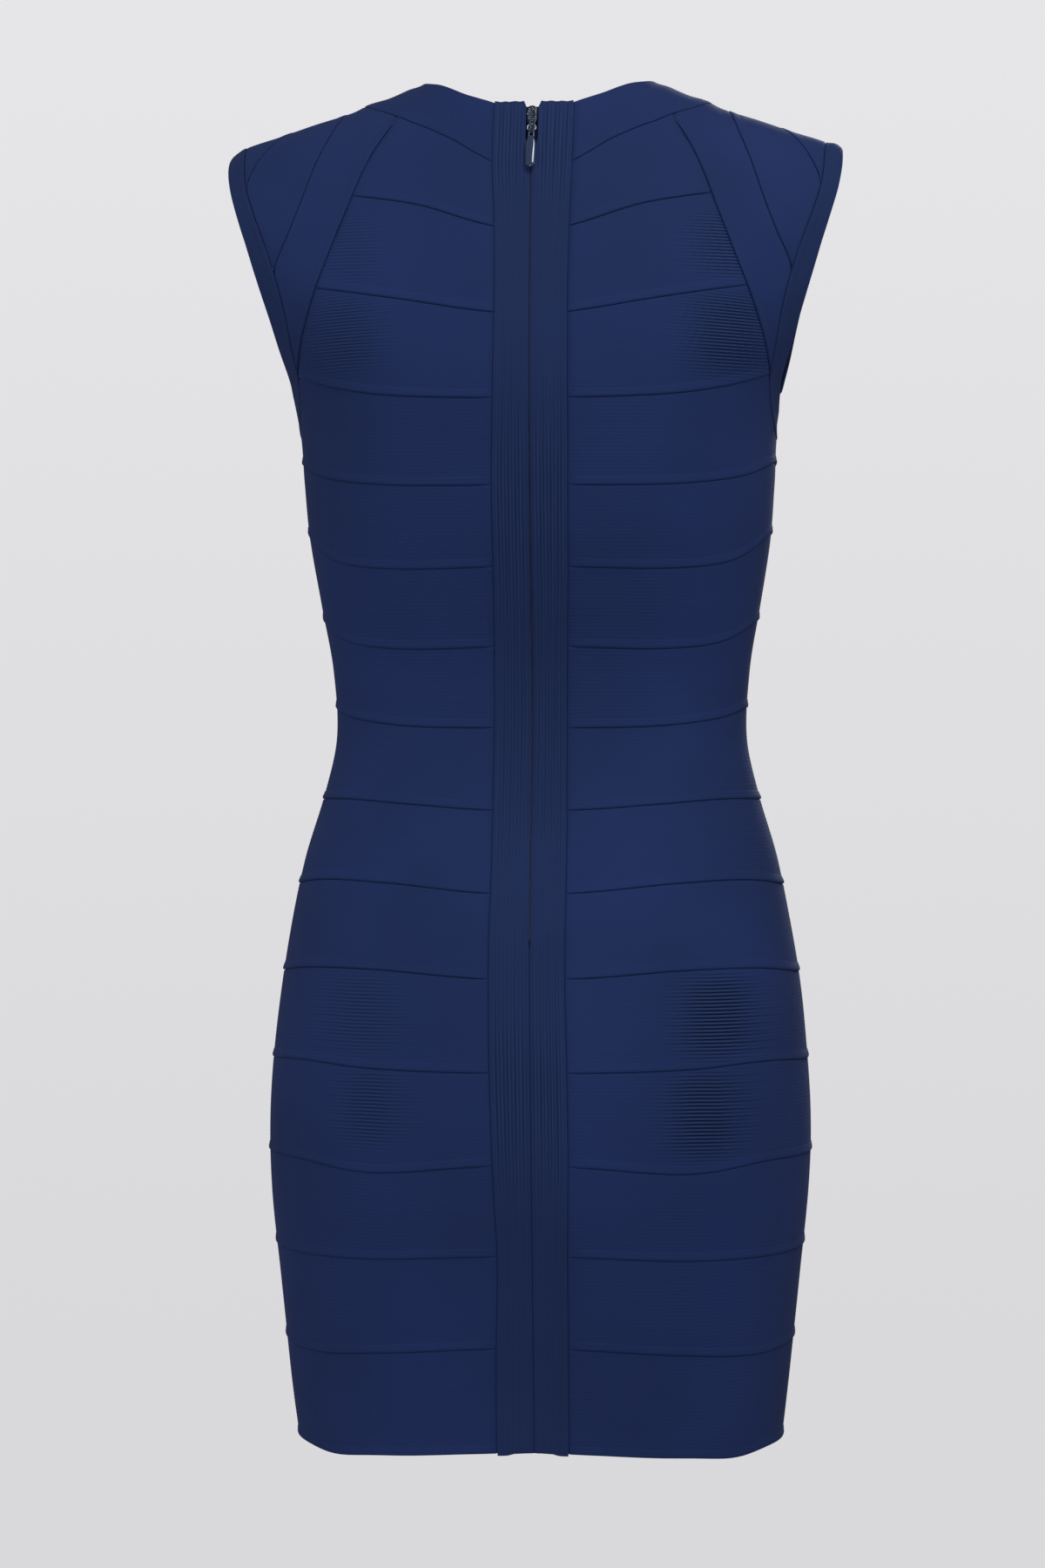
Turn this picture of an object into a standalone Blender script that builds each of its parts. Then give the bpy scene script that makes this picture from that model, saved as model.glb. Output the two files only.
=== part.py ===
"""Sleeveless knit dress sewn from bands of cloth, worn shape, with a zip down the centre back.

Metres, +Z up. The back faces -Y, the front +Y. The origin lies midway between the two points
where the neckline crosses the shoulder line, which is where the wearer's shoulders hold it.
"""
import math

import bmesh
import bpy
from mathutils import Matrix, Vector

# Cloth and sewing
CLOTH = 0.0015  # thickness of the knit
SEAM_GAP = 0.0003  # pieces stand this far apart at a seam
FOLD_LIFT = 0.0010  # how far a strip's folded lower edge stands proud
FOLD_DEPTH = 0.0050  # height of that folded edge

# The general figure that the cut is made for. Each row is a level section of it:
# height, half width, depth of the back, depth of the front.
SECTIONS = (
    (-0.860, 0.1450, 0.0900, 0.0900),
    (-0.838, 0.1465, 0.0910, 0.0920),
    (-0.780, 0.1525, 0.0985, 0.0955),
    (-0.725, 0.1583, 0.1085, 0.0985),
    (-0.675, 0.1630, 0.1175, 0.1010),
    (-0.625, 0.1638, 0.1220, 0.1040),
    (-0.575, 0.1600, 0.1190, 0.1085),
    (-0.525, 0.1535, 0.1090, 0.1105),
    (-0.475, 0.1438, 0.0935, 0.1080),
    (-0.435, 0.1320, 0.0800, 0.1020),
    (-0.400, 0.1247, 0.0730, 0.0960),
    (-0.360, 0.1268, 0.0745, 0.0950),
    (-0.320, 0.1343, 0.0840, 0.1070),
    (-0.280, 0.1408, 0.0945, 0.1245),
    (-0.245, 0.1436, 0.1015, 0.1330),
    (-0.215, 0.1460, 0.1055, 0.1290),
    (-0.190, 0.1530, 0.1085, 0.1190),
    (-0.160, 0.1680, 0.1110, 0.1080),
    (-0.120, 0.1905, 0.1110, 0.0960),
    (-0.080, 0.2090, 0.1090, 0.0870),
    (-0.040, 0.2200, 0.1060, 0.0820),
    (0.050, 0.2250, 0.1000, 0.0800),
)
SQUARENESS = 2.4  # 2 is an ellipse, more is squarer
UNDERARM = -0.215  # above this height the form rounds over to the shoulder line

# Distance from the centre, height of the shoulder line there. Inside the neckline it is
# only the line that the neck's own cloth leans towards.
SHOULDER_LINE = (
    (0.0000, 0.0450),
    (0.0350, 0.0300),
    (0.0700, 0.0005),
    (0.0805, -0.0045),
    (0.0915, -0.0093),
    (0.1020, -0.0125),
    (0.1125, -0.0178),
    (0.1340, -0.0246),
    (0.1550, -0.0318),
    (0.1740, -0.0378),
    (0.1860, -0.0435),
    (0.2150, -0.0580),
)

# Neck: both edges are superellipses in (distance from the centre, lean). Lean is the angle
# over the shoulder, 0 degrees on the shoulder line and 90 at underarm level.
NECKLINE_HALF = 0.0710
NECKLINE_BACK_LEAN = 42.0
NECKLINE_FRONT_LEAN = 60.0
NECK_SEAM_HALF = 0.1060
NECK_SEAM_BACK_LEAN = 53.0
NECK_SEAM_FRONT_LEAN = 68.5
NECK_ROUND = 2.0
NECK_SEAM_ROUND = 1.55

# Shoulder strips and armhole. Each row: lean, then the distance from the centre of the seam
# beside the chest strips, of the next two seams, of the armhole band's seam and of its open
# edge. Where a seam has run into the armhole band it repeats the band's seam.
SHOULDER_SEAMS = (
    (0.0, 0.0600, 0.1160, 0.1450, 0.1760, 0.1865),
    (12.0, 0.0690, 0.1185, 0.1500, 0.1757, 0.1863),
    (24.0, 0.0800, 0.1235, 0.1612, 0.1750, 0.1855),
    (35.0, 0.0945, 0.1315, 0.1732, 0.1732, 0.1828),
    (44.0, 0.1045, 0.1412, 0.1680, 0.1680, 0.1780),
    (52.0, 0.1130, 0.1495, 0.1612, 0.1612, 0.1722),
    (60.0, 0.1220, 0.1545, 0.1545, 0.1545, 0.1662),
    (67.0, 0.1305, 0.1493, 0.1493, 0.1493, 0.1602),
    (74.0, 0.1375, 0.1455, 0.1455, 0.1455, 0.1545),
    (80.5, 0.1425, 0.1425, 0.1425, 0.1425, 0.1495),
)
CHEST_SEAM, MIDDLE_SEAM, OUTER_SEAM, BAND_SEAM, OPEN_EDGE = 1, 2, 3, 4, 5
FRONT_SCOOP = 0.0060  # how much nearer the centre these lines lie at mid height in front
BLUNT_END = 1.0  # a strip that narrows to a point is cut off this many degrees short

# Under the arm, from the last row above to the side. Each row: turn (degrees round from the
# side) and height of the band's seam, then turn and height of its open edge.
UNDERARM_ROWS = (
    (19.5, -0.1985, 12.5, -0.1930),
    (13.0, -0.2095, 8.0, -0.2010),
    (6.5, -0.2165, 4.0, -0.2062),
    (0.0, -0.2190, 0.0, -0.2080),
)
UNDERARM_TURN = 26.0  # where the chest seam meets the armhole band

# Seams between the level strips. Each row: height at the centre back, at 30 and 55 degrees
# round from it, at the side and at the centre front. The last row is the hem.
LEVEL_SEAMS = (
    (-0.2519, -0.2505, -0.2440, -0.2335, -0.2520),
    (-0.3012, -0.3020, -0.2950, -0.2756, -0.3000),
    (-0.3479, -0.3488, -0.3433, -0.3283, -0.3430),
    (-0.3959, -0.3947, -0.3890, -0.3820, -0.3900),
    (-0.4447, -0.4406, -0.4385, -0.4380, -0.4410),
    (-0.4937, -0.4882, -0.4870, -0.4895, -0.4910),
    (-0.5440, -0.5393, -0.5385, -0.5424, -0.5430),
    (-0.5992, -0.5980, -0.5935, -0.5948, -0.5960),
    (-0.6541, -0.6585, -0.6535, -0.6508, -0.6520),
    (-0.7072, -0.7112, -0.7105, -0.7070, -0.7080),
    (-0.7621, -0.7668, -0.7688, -0.7638, -0.7640),
    (-0.8242, -0.8277, -0.8270, -0.8246, -0.8250),
)
LEVEL_STATIONS = (0.0, 30.0, 55.0, 90.0, 180.0)

# The seam over the first of those strips, as (degrees round from the centre, height)
CHEST_SEAM_BACK = ((0.0, -0.2025), (27.0, -0.2003), (46.0, -0.1940), (64.0, -0.1841))
CHEST_SEAM_FRONT = ((0.0, -0.2080), (27.0, -0.2055), (46.0, -0.1980), (64.0, -0.1841))

# Seams of the upper back, as (distance from the centre, height)
UPPER_SEAM_1 = ((0.0, -0.1010), (0.0235, -0.0993), (0.0670, -0.0853), (0.1075, -0.0775))
UPPER_SEAM_2 = ((0.0, -0.1520), (0.0235, -0.1516), (0.0740, -0.1429), (0.1277, -0.1336))
# and of the upper front
FRONT_SEAM_1 = ((0.0, -0.1060), (0.0600, -0.0990), (0.1100, -0.0900))
FRONT_SEAM_2 = ((0.0, -0.1590), (0.0600, -0.1560), (0.1250, -0.1430))

# Centre back
BAND_HALF = 0.0228  # each centre band reaches this far from the zip
ZIP_DRIFT = 0.0024  # the zip's drift to +X between waist and hips, as worn
DRIFT_FROM, DRIFT_TO = -0.45, -0.66
ZIP_END = -0.5250
TAPE_HALF = 0.0110
TAPE_THICKNESS = 0.0010
TAPE_TOP = -0.0245
TAPE_TAIL = 0.0120  # tape below the end of the zip
NOTCH = 0.0016  # how much wider the bands part at the neckline than beside the slider
CLOSING = 0.0080  # below the slider the bands come together over this height

# Zip slider and pull tab
SLIDER_TOP, SLIDER_BOTTOM = -0.0255, -0.0462
SLIDER_WIDTH = 0.0064
SLIDER_TAPER = 0.62  # width of its lower end over its upper
SLIDER_PROUD = 0.0010  # above the cloth's face
SLIDER_DEPTH = 0.0024
BRIDGE_RADIUS = 0.0016  # of the wire's centre line about the tab's hinge
BRIDGE_WIRE = 0.0006
HINGE_HEIGHT = 0.0009  # above the slider's face
HINGE_LEVEL = -0.0435
TAB_LENGTH = 0.0236
TAB_WIDTH = 0.0058
TAB_EYE_WIDTH = 0.0038
TAB_THICKNESS = 0.0010
TAB_LEAN = 24.0  # degrees from upright, lying on the cloth
EYE_HALF_WIDTH = 0.0010
EYE_TOP, EYE_BOTTOM = -0.0005, -0.0026

# Grid counts
ROUND_COLUMNS = 6  # from the centre to where the chest seam meets the armhole band
LEVEL_ROWS = (0.0, 0.5, 1.0)  # down a level strip, its folded edge apart
UPPER_ROWS = (0.0, 0.25, 0.5, 0.75, 1.0)  # down an upper strip, likewise

BACK, FRONT = -1, 1
LEFT, RIGHT = -1, 1
HANDS = (("left", LEFT), ("right", RIGHT))

NAVY = (0.030, 0.048, 0.135, 1.0)
NAVY_DEEP = (0.022, 0.036, 0.105, 1.0)
TAPE_NAVY = (0.010, 0.014, 0.040, 1.0)
ENAMEL = (0.020, 0.032, 0.085, 1.0)


# ---------------------------------------------------------------- the body form

def reading(rows, at, column=1):
    """Smooth curve through a table: the value in a column where the first column is `at`."""
    last = len(rows) - 1
    at = min(max(at, rows[0][0]), rows[last][0])
    low = 0
    while low < last - 1 and rows[low + 1][0] < at:
        low += 1

    def slope(row):
        before, after = max(row - 1, 0), min(row + 1, last)
        return (rows[after][column] - rows[before][column]) / (rows[after][0] - rows[before][0])

    span = rows[low + 1][0] - rows[low][0]
    t = (at - rows[low][0]) / span
    start, end = rows[low][column], rows[low + 1][column]
    return (start * (2 * t**3 - 3 * t**2 + 1) + slope(low) * span * (t**3 - 2 * t**2 + t)
            + end * (3 * t**2 - 2 * t**3) + slope(low + 1) * span * (t**3 - t**2))


def half_width(height):
    return reading(SECTIONS, height, 1)


def depth(height, side):
    return reading(SECTIONS, height, 2 if side == BACK else 3)


def shoulder_rise(x):
    """Height of the shoulder line above underarm level."""
    return reading(SHOULDER_LINE, abs(x)) - UNDERARM


def on_body(x, height, side):
    """Point of the form at a distance from the centre and a height."""
    fullness = max(0.0, 1 - (abs(x) / half_width(height)) ** SQUARENESS) ** (1 / SQUARENESS)
    rise = max(0.0, height - UNDERARM) / shoulder_rise(x)
    rounding = math.sqrt(max(0.0, 1 - rise * rise))
    return Vector((x, side * depth(height, side) * fullness * rounding, height))


def over_shoulder(x, lean, side):
    """Point of the form at a distance from the centre and a lean over the shoulder."""
    height = UNDERARM + shoulder_rise(x) * math.cos(math.radians(lean))
    fullness = max(0.0, 1 - (abs(x) / half_width(height)) ** SQUARENESS) ** (1 / SQUARENESS)
    y = side * depth(height, side) * fullness * math.sin(math.radians(lean))
    return Vector((x, y, height))


def around_body(turn, height, side, hand):
    """Point of the form at an angle from the side (90 at the centre) and a height."""
    angle = math.radians(turn)
    x = half_width(height) * max(0.0, math.cos(angle)) ** (2 / SQUARENESS)
    rise = max(0.0, height - UNDERARM) / shoulder_rise(x)
    rounding = math.sqrt(max(0.0, 1 - rise * rise))
    y = depth(height, side) * max(0.0, math.sin(angle)) ** (2 / SQUARENESS) * rounding
    return Vector((hand * x, side * y, height))


def beyond_form(point, power):
    """Below 0 inside the form, 0 on it, above 0 outside."""
    side = BACK if point.y < 0 else FRONT
    rise = max(0.0, point.z - UNDERARM) / shoulder_rise(point.x)
    fullness = max(0.0, 1 - (abs(point.x) / half_width(point.z)) ** SQUARENESS)
    rounding = 1 - rise * rise
    if power != 2:
        rounding = max(0.0, rounding) ** (power / 2)
    return (abs(point.y) / depth(point.z, side)) ** power - fullness ** (power / SQUARENESS) * rounding


def outward(point):
    """Unit normal of the form at one of its points."""
    step = 1e-5
    near_side = abs(point.x) > 0.9 * half_width(point.z)
    power = SQUARENESS if near_side else 2
    gradient = [
        beyond_form(point + step * axis, power) - beyond_form(point - step * axis, power)
        for axis in (Vector((1, 0, 0)), Vector((0, 1, 0)), Vector((0, 0, 1)))
    ]
    return Vector(gradient).normalized()


def zip_line(height):
    """Distance of the zip from the centre plane."""
    t = min(max((DRIFT_FROM - height) / (DRIFT_FROM - DRIFT_TO), 0.0), 1.0)
    return ZIP_DRIFT * t * t * (3 - 2 * t)


# ---------------------------------------------------------------- meshes

def new_object(name, bm, colour, roughness=0.8, metallic=0.0):
    """Close up a bmesh and add it to the collection with a material of its own."""
    bmesh.ops.recalc_face_normals(bm, faces=bm.faces)
    mesh = bpy.data.meshes.new(name)
    bm.to_mesh(mesh)
    bm.free()
    piece = bpy.data.objects.new(name, mesh)
    dress.objects.link(piece)
    set_material(piece, colour, roughness, metallic)
    return piece


def set_material(piece, colour, roughness, metallic):
    material = bpy.data.materials.new(piece.name)
    material.use_nodes = True
    surface = material.node_tree.nodes["Principled BSDF"]
    surface.inputs["Base Color"].default_value = colour
    surface.inputs["Roughness"].default_value = roughness
    surface.inputs["Metallic"].default_value = metallic
    piece.data.materials.clear()
    piece.data.materials.append(material)
    piece.data.shade_smooth()
    piece.data.set_sharp_from_angle(angle=math.radians(35))


def seam_inset(points, free):
    """Draw a grid's edges in by half a seam gap, along the cloth, except its free edges."""
    rows, columns = len(points), len(points[0])
    edges = {
        "top": [(0, c, 1, c) for c in range(columns)],
        "bottom": [(rows - 1, c, rows - 2, c) for c in range(columns)],
        "start": [(r, 0, r, 1) for r in range(rows)],
        "end": [(r, columns - 1, r, columns - 2) for r in range(rows)],
    }
    moved = [[point.copy() for point in row] for row in points]
    for name, cells in edges.items():
        if name in free:
            continue
        for place, (row, column, row_in, column_in) in enumerate(cells):
            before = cells[max(place - 1, 0)]
            after = cells[min(place + 1, len(cells) - 1)]
            along = (points[after[0]][after[1]] - points[before[0]][before[1]]).normalized()
            inward = points[row_in][column_in] - points[row][column]
            inward -= along * inward.dot(along)
            moved[row][column] += inward.normalized() * SEAM_GAP / 2
    return moved


def cloth_wall(name, points, free=(), lift=None, offset=0.0, thickness=CLOTH, ring=False,
               colour=NAVY):
    """A wall of cloth from a grid of points on the form: rows of columns.

    free names the edges that are not seams. lift gives how far each point's outer face
    stands proud. A ring's last column repeats its first.
    """
    rows, columns = len(points), len(points[0])
    points = seam_inset(points, free)
    if ring:
        for row in points:
            row[-1] = row[0].copy()
    normals = [[outward(point) for point in row] for row in points]
    bm = bmesh.new()
    bmesh.ops.create_grid(bm, x_segments=columns - 1, y_segments=rows - 1, size=1)
    cell = bm.verts.layers.int.new("cell")
    for vert in bm.verts:
        column = round((vert.co.x + 1) / 2 * (columns - 1))
        row = round((vert.co.y + 1) / 2 * (rows - 1))
        vert[cell] = row * columns + column
        vert.co = points[row][column]
    if ring:
        bmesh.ops.remove_doubles(bm, verts=bm.verts, dist=1e-6)
    outer_verts = list(bm.verts)
    extruded = bmesh.ops.extrude_face_region(bm, geom=list(bm.faces), use_keep_orig=True)
    inner_verts = [item for item in extruded["geom"] if isinstance(item, bmesh.types.BMVert)]
    for vert in outer_verts:
        row, column = divmod(vert[cell], columns)
        proud = lift(row, column) if lift else 0.0
        vert.co = points[row][column] + normals[row][column] * (offset + proud)
    for vert in inner_verts:
        row, column = divmod(vert[cell], columns)
        vert.co = points[row][column] + normals[row][column] * (offset - thickness)
    bm.verts.layers.int.remove(cell)
    return new_object(name, bm, colour)


def patch(top, bottom, start, end, rows, columns):
    """Grid between four border lines, each a function of 0 to 1 giving a pair of numbers."""
    grid = []
    for v in rows:
        line = []
        for u in columns:
            pair = []
            for axis in (0, 1):
                across = (1 - v) * top(u)[axis] + v * bottom(u)[axis]
                down = (1 - u) * start(v)[axis] + u * end(v)[axis]
                corners = ((1 - v) * ((1 - u) * top(0)[axis] + u * top(1)[axis])
                           + v * ((1 - u) * bottom(0)[axis] + u * bottom(1)[axis]))
                pair.append(across + down - corners)
            line.append(pair)
        grid.append(line)
    return grid


def steps(count):
    return [index / count for index in range(count + 1)]


def fold_rows(rows, length):
    """Rows down a strip of this length, as fractions, with one where its folded edge starts."""
    folded = 1 - FOLD_DEPTH / length
    return [row * folded for row in rows] + [1.0]


def fold_lift(rows):
    """Only the last row of a strip, its folded edge, stands proud."""
    return lambda row, column: FOLD_LIFT if row == len(rows) else 0.0


def crossing(difference, low, high):
    """Where a function changes sign between two values."""
    rising = difference(high) > difference(low)
    for _ in range(40):
        middle = (low + high) / 2
        if (difference(middle) > 0) == rising:
            high = middle
        else:
            low = middle
    return (low + high) / 2


# ---------------------------------------------------------------- seam lines

def shoulder_seam(column, lean, side):
    """Distance from the centre of one of the shoulder's lines at a lean."""
    if column < BAND_SEAM and lean > lean_stations(column)[-1]:
        column = BAND_SEAM
    scoop = FRONT_SCOOP * math.sin(math.pi * lean / SHOULDER_SEAMS[-1][0]) if side == FRONT else 0.0
    return reading(SHOULDER_SEAMS, lean, column) - scoop


def neck_curve(half, end_lean, roundness, t):
    """(distance from the centre, lean) at t from 0, on the shoulder line, to 1 at the centre."""
    angle = t * math.pi / 2
    across = max(0.0, math.cos(angle)) ** (2 / roundness)
    down = max(0.0, math.sin(angle)) ** (2 / roundness)
    return half * across, end_lean * down


def neck_seam_x(lean, side):
    """Distance from the centre of the neck band's seam at a lean."""
    end_lean = NECK_SEAM_BACK_LEAN if side == BACK else NECK_SEAM_FRONT_LEAN
    roundness = NECK_SEAM_ROUND if side == BACK else NECK_ROUND
    return NECK_SEAM_HALF * max(0.0, 1 - (lean / end_lean) ** roundness) ** (1 / roundness)


def neck_line_x(lean, side):
    """Distance from the centre of the neck's open edge at a lean."""
    end_lean = NECKLINE_BACK_LEAN if side == BACK else NECKLINE_FRONT_LEAN
    return NECKLINE_HALF * max(0.0, 1 - (lean / end_lean) ** NECK_ROUND) ** (1 / NECK_ROUND)


def lean_at(x, height):
    """Lean of the form's point at a distance from the centre and a height."""
    return math.degrees(math.acos(min(1.0, (height - UNDERARM) / shoulder_rise(x))))


def joining_lean(side):
    """Lean at which the chest seam leaves the neck band's seam."""
    return crossing(lambda lean: shoulder_seam(CHEST_SEAM, lean, side) - neck_seam_x(lean, side),
                    10.0, 45.0)


def seam_lean(rows, side):
    """Lean at which a level seam meets the chest seam."""
    return crossing(
        lambda lean: lean_at(shoulder_seam(CHEST_SEAM, lean, side),
                             reading(rows, shoulder_seam(CHEST_SEAM, lean, side))) - lean,
        joining_lean(side), 79.0)


def level_height(seam, around):
    """Height of a level seam at an angle round from the centre back, 180 at the front."""
    row = LEVEL_SEAMS[seam]
    stations = list(zip(LEVEL_STATIONS, row))
    mirrored_back = (-stations[1][0], stations[1][1])
    mirrored_front = (360 - stations[3][0], stations[3][1])
    return reading([mirrored_back, *stations, mirrored_front], around)


def chest_height(around_centre, side):
    """Height of the chest seam at an angle round from the centre back or front."""
    rows = CHEST_SEAM_BACK if side == BACK else CHEST_SEAM_FRONT
    mirrored = (-rows[1][0], rows[1][1])
    return reading([mirrored, *rows], around_centre)


def band_edge_angle(height, hand):
    """Angle round from the centre back of a centre band's outer edge."""
    x = BAND_HALF + hand * zip_line(height)
    return 90 - math.degrees(math.acos((x / half_width(height)) ** (SQUARENESS / 2)))


CORNER = 90 - UNDERARM_TURN


# ---------------------------------------------------------------- level strips

def ring_stations(height):
    """Angles round from the centre back for a level seam's columns, right hand then left."""
    back = band_edge_angle(height, RIGHT)
    right_back = [back + (CORNER - back) * t for t in steps(ROUND_COLUMNS)]
    under = [90 - row[0] for row in UNDERARM_ROWS]
    front = [180 - CORNER * (1 - t) for t in steps(ROUND_COLUMNS)]
    right = right_back + under + [180 - angle for angle in reversed(under[:-1])] + front
    back = band_edge_angle(height, LEFT)
    left_back = [back + (CORNER - back) * t for t in steps(ROUND_COLUMNS)]
    left = left_back + under + [180 - angle for angle in reversed(under[:-1])] + front
    return [(RIGHT, angle) for angle in right] + [(LEFT, angle) for angle in reversed(left[:-1])]


def ring_point(hand, around, height):
    side = BACK if around < 90 else FRONT
    turn = 90 - around if side == BACK else around - 90
    return around_body(turn, height, side, hand)


def top_of_first_strip(around):
    """Height of the chest seams, and of the armhole band's seam between them."""
    under = [(90 - row[0], row[1]) for row in UNDERARM_ROWS]
    lower = [(CORNER, CHEST_SEAM_BACK[-1][1]), *under]
    folded = around if around <= 90 else 180 - around
    if folded >= CORNER:
        mirrored = (180 - lower[-2][0], lower[-2][1])
        return reading([*lower, mirrored], folded)
    return chest_height(folded, BACK if around < 90 else FRONT)


def make_level_strips():
    for number in range(len(LEVEL_SEAMS)):
        def top(around, seam=number - 1):
            return top_of_first_strip(around) if seam < 0 else level_height(seam, around)

        def bottom(around, seam=number):
            return level_height(seam, around)

        stations = ring_stations((top(0.0) + bottom(0.0)) / 2)
        rows = []
        for v in fold_rows(LEVEL_ROWS, top(0.0) - bottom(0.0)):
            row = []
            for place, (hand, around) in enumerate(stations):
                height = (1 - v) * top(around) + v * bottom(around)
                if place in (0, len(stations) - 1):
                    around = band_edge_angle(height, hand)
                row.append(ring_point(hand, around, height))
            rows.append(row)
        free = ("bottom",) if number == len(LEVEL_SEAMS) - 1 else ()
        cloth_wall(f"strip_{number + 4:02d}", rows, free, fold_lift(LEVEL_ROWS))


# ---------------------------------------------------------------- upper back and front

def chest_line(low_lean, high_lean, side):
    """The chest seam between two leans, as a border in (x, height)."""
    def border(t):
        lean = low_lean + (high_lean - low_lean) * t
        x = shoulder_seam(CHEST_SEAM, lean, side)
        return x, UNDERARM + shoulder_rise(x) * math.cos(math.radians(lean))
    return border


def upper_strip(name, top, bottom, start, end, side, hand, free=()):
    """A strip between four borders given in (x, height)."""
    length = max(start(0)[1] - start(1)[1], end(0)[1] - end(1)[1])
    grid = patch(top, bottom, start, end, fold_rows(UPPER_ROWS, length), steps(ROUND_COLUMNS))
    points = [[on_body(hand * x, height, side) for x, height in row] for row in grid]
    cloth_wall(name, points, free, fold_lift(UPPER_ROWS))


def make_back_strips():
    leans = [joining_lean(BACK), seam_lean(UPPER_SEAM_1, BACK), seam_lean(UPPER_SEAM_2, BACK),
             SHOULDER_SEAMS[-1][0]]

    def neck_seam(t):
        lean = crossing(lambda value: BAND_HALF - neck_seam_x(value, BACK), 30.0, 52.9)
        lean += (leans[0] - lean) * t
        x = neck_seam_x(lean, BACK)
        return x, UNDERARM + shoulder_rise(x) * math.cos(math.radians(lean))

    def level(rows, end_lean):
        def border(t):
            x = BAND_HALF + (shoulder_seam(CHEST_SEAM, end_lean, BACK) - BAND_HALF) * t
            return x, reading(rows, x)
        return border

    def chest_seam(t):
        start = band_edge_angle(CHEST_SEAM_BACK[0][1], RIGHT)
        around = start + (CORNER - start) * t
        height = chest_height(around, BACK)
        point = around_body(90 - around, height, BACK, RIGHT)
        return (point.x, height) if t < 1 else chest_line(leans[2], leans[3], BACK)(1)

    borders = [neck_seam, level(UPPER_SEAM_1, leans[1]), level(UPPER_SEAM_2, leans[2]), chest_seam]
    for number in range(3):
        top, bottom = borders[number], borders[number + 1]

        def band_edge(t, above=top, below=bottom):
            return BAND_HALF, above(0)[1] + (below(0)[1] - above(0)[1]) * t

        end = chest_line(leans[number], leans[number + 1], BACK)
        for word, hand in HANDS:
            upper_strip(f"back_strip_{number + 1}_{word}", top, bottom, band_edge, end, BACK, hand)


def make_front_strips():
    join = joining_lean(FRONT)
    leans = [seam_lean(FRONT_SEAM_1, FRONT), seam_lean(FRONT_SEAM_2, FRONT), SHOULDER_SEAMS[-1][0]]

    def neck_height(x):
        lean = NECK_SEAM_FRONT_LEAN * math.sqrt(max(0.0, 1 - (x / NECK_SEAM_HALF) ** 2))
        return UNDERARM + shoulder_rise(x) * math.cos(math.radians(lean))

    meet_x = crossing(lambda x: reading(FRONT_SEAM_1, x) - neck_height(x), 0.02, 0.095)

    # the two side pieces, each a triangle with its point cut off short
    tip = join + 1.5

    def tip_edge(t):
        x = neck_seam_x(tip, FRONT) + (shoulder_seam(CHEST_SEAM, tip, FRONT) - neck_seam_x(tip, FRONT)) * t
        return x, UNDERARM + shoulder_rise(x) * math.cos(math.radians(tip))

    def side_bottom(t):
        x = meet_x + (shoulder_seam(CHEST_SEAM, leans[0], FRONT) - meet_x) * t
        return x, reading(FRONT_SEAM_1, x)

    def side_inner(t):
        low = lean_at(meet_x, neck_height(meet_x))
        lean = tip + (low - tip) * t
        x = neck_seam_x(lean, FRONT)
        return x, UNDERARM + shoulder_rise(x) * math.cos(math.radians(lean))

    outer = chest_line(tip, leans[0], FRONT)
    for word, hand in HANDS:
        upper_strip(f"front_strip_1_{word}", tip_edge, side_bottom, side_inner, outer, FRONT, hand)

    def upper_edge(t):
        x = shoulder_seam(CHEST_SEAM, leans[0], FRONT) * t
        return x, neck_height(x) if x < meet_x else reading(FRONT_SEAM_1, x)

    def middle_edge(t):
        x = shoulder_seam(CHEST_SEAM, leans[1], FRONT) * t
        return x, reading(FRONT_SEAM_2, x)

    def lower_edge(t):
        height = chest_height(CORNER * t, FRONT)
        x = around_body(90 - CORNER * t, height, FRONT, RIGHT).x
        return (x, height) if t < 1 else chest_line(leans[1], leans[2], FRONT)(1)

    meet = meet_x / shoulder_seam(CHEST_SEAM, leans[0], FRONT)
    whole_strip("front_strip_2", upper_edge, middle_edge, chest_line(leans[0], leans[1], FRONT),
                sorted(steps(ROUND_COLUMNS) + [meet]))
    whole_strip("front_strip_3", middle_edge, lower_edge, chest_line(leans[1], leans[2], FRONT),
                steps(ROUND_COLUMNS))


def whole_strip(name, top, bottom, end, columns):
    """A front strip from hand to hand, its borders given from the centre out in (x, height)."""
    def centre_line(t):
        return 0.0, top(0)[1] + (bottom(0)[1] - top(0)[1]) * t

    grid = patch(top, bottom, centre_line, end, fold_rows(UPPER_ROWS, top(0)[1] - bottom(0)[1]), columns)
    rows = []
    for line in grid:
        left = [on_body(-x, height, FRONT) for x, height in reversed(line[1:])]
        rows.append(left + [on_body(x, height, FRONT) for x, height in line])
    cloth_wall(name, rows, (), fold_lift(UPPER_ROWS))


# ---------------------------------------------------------------- shoulders and armholes

def lean_stations(column):
    """The table's leans, and those midway, down to where a seam runs into the armhole band."""
    leans = [SHOULDER_SEAMS[0][0]]
    for row in SHOULDER_SEAMS[1:]:
        leans += [(leans[-1] + row[0]) / 2, row[0]]
        if row[column] == row[BAND_SEAM] and column != BAND_SEAM:
            break
    return leans


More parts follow.
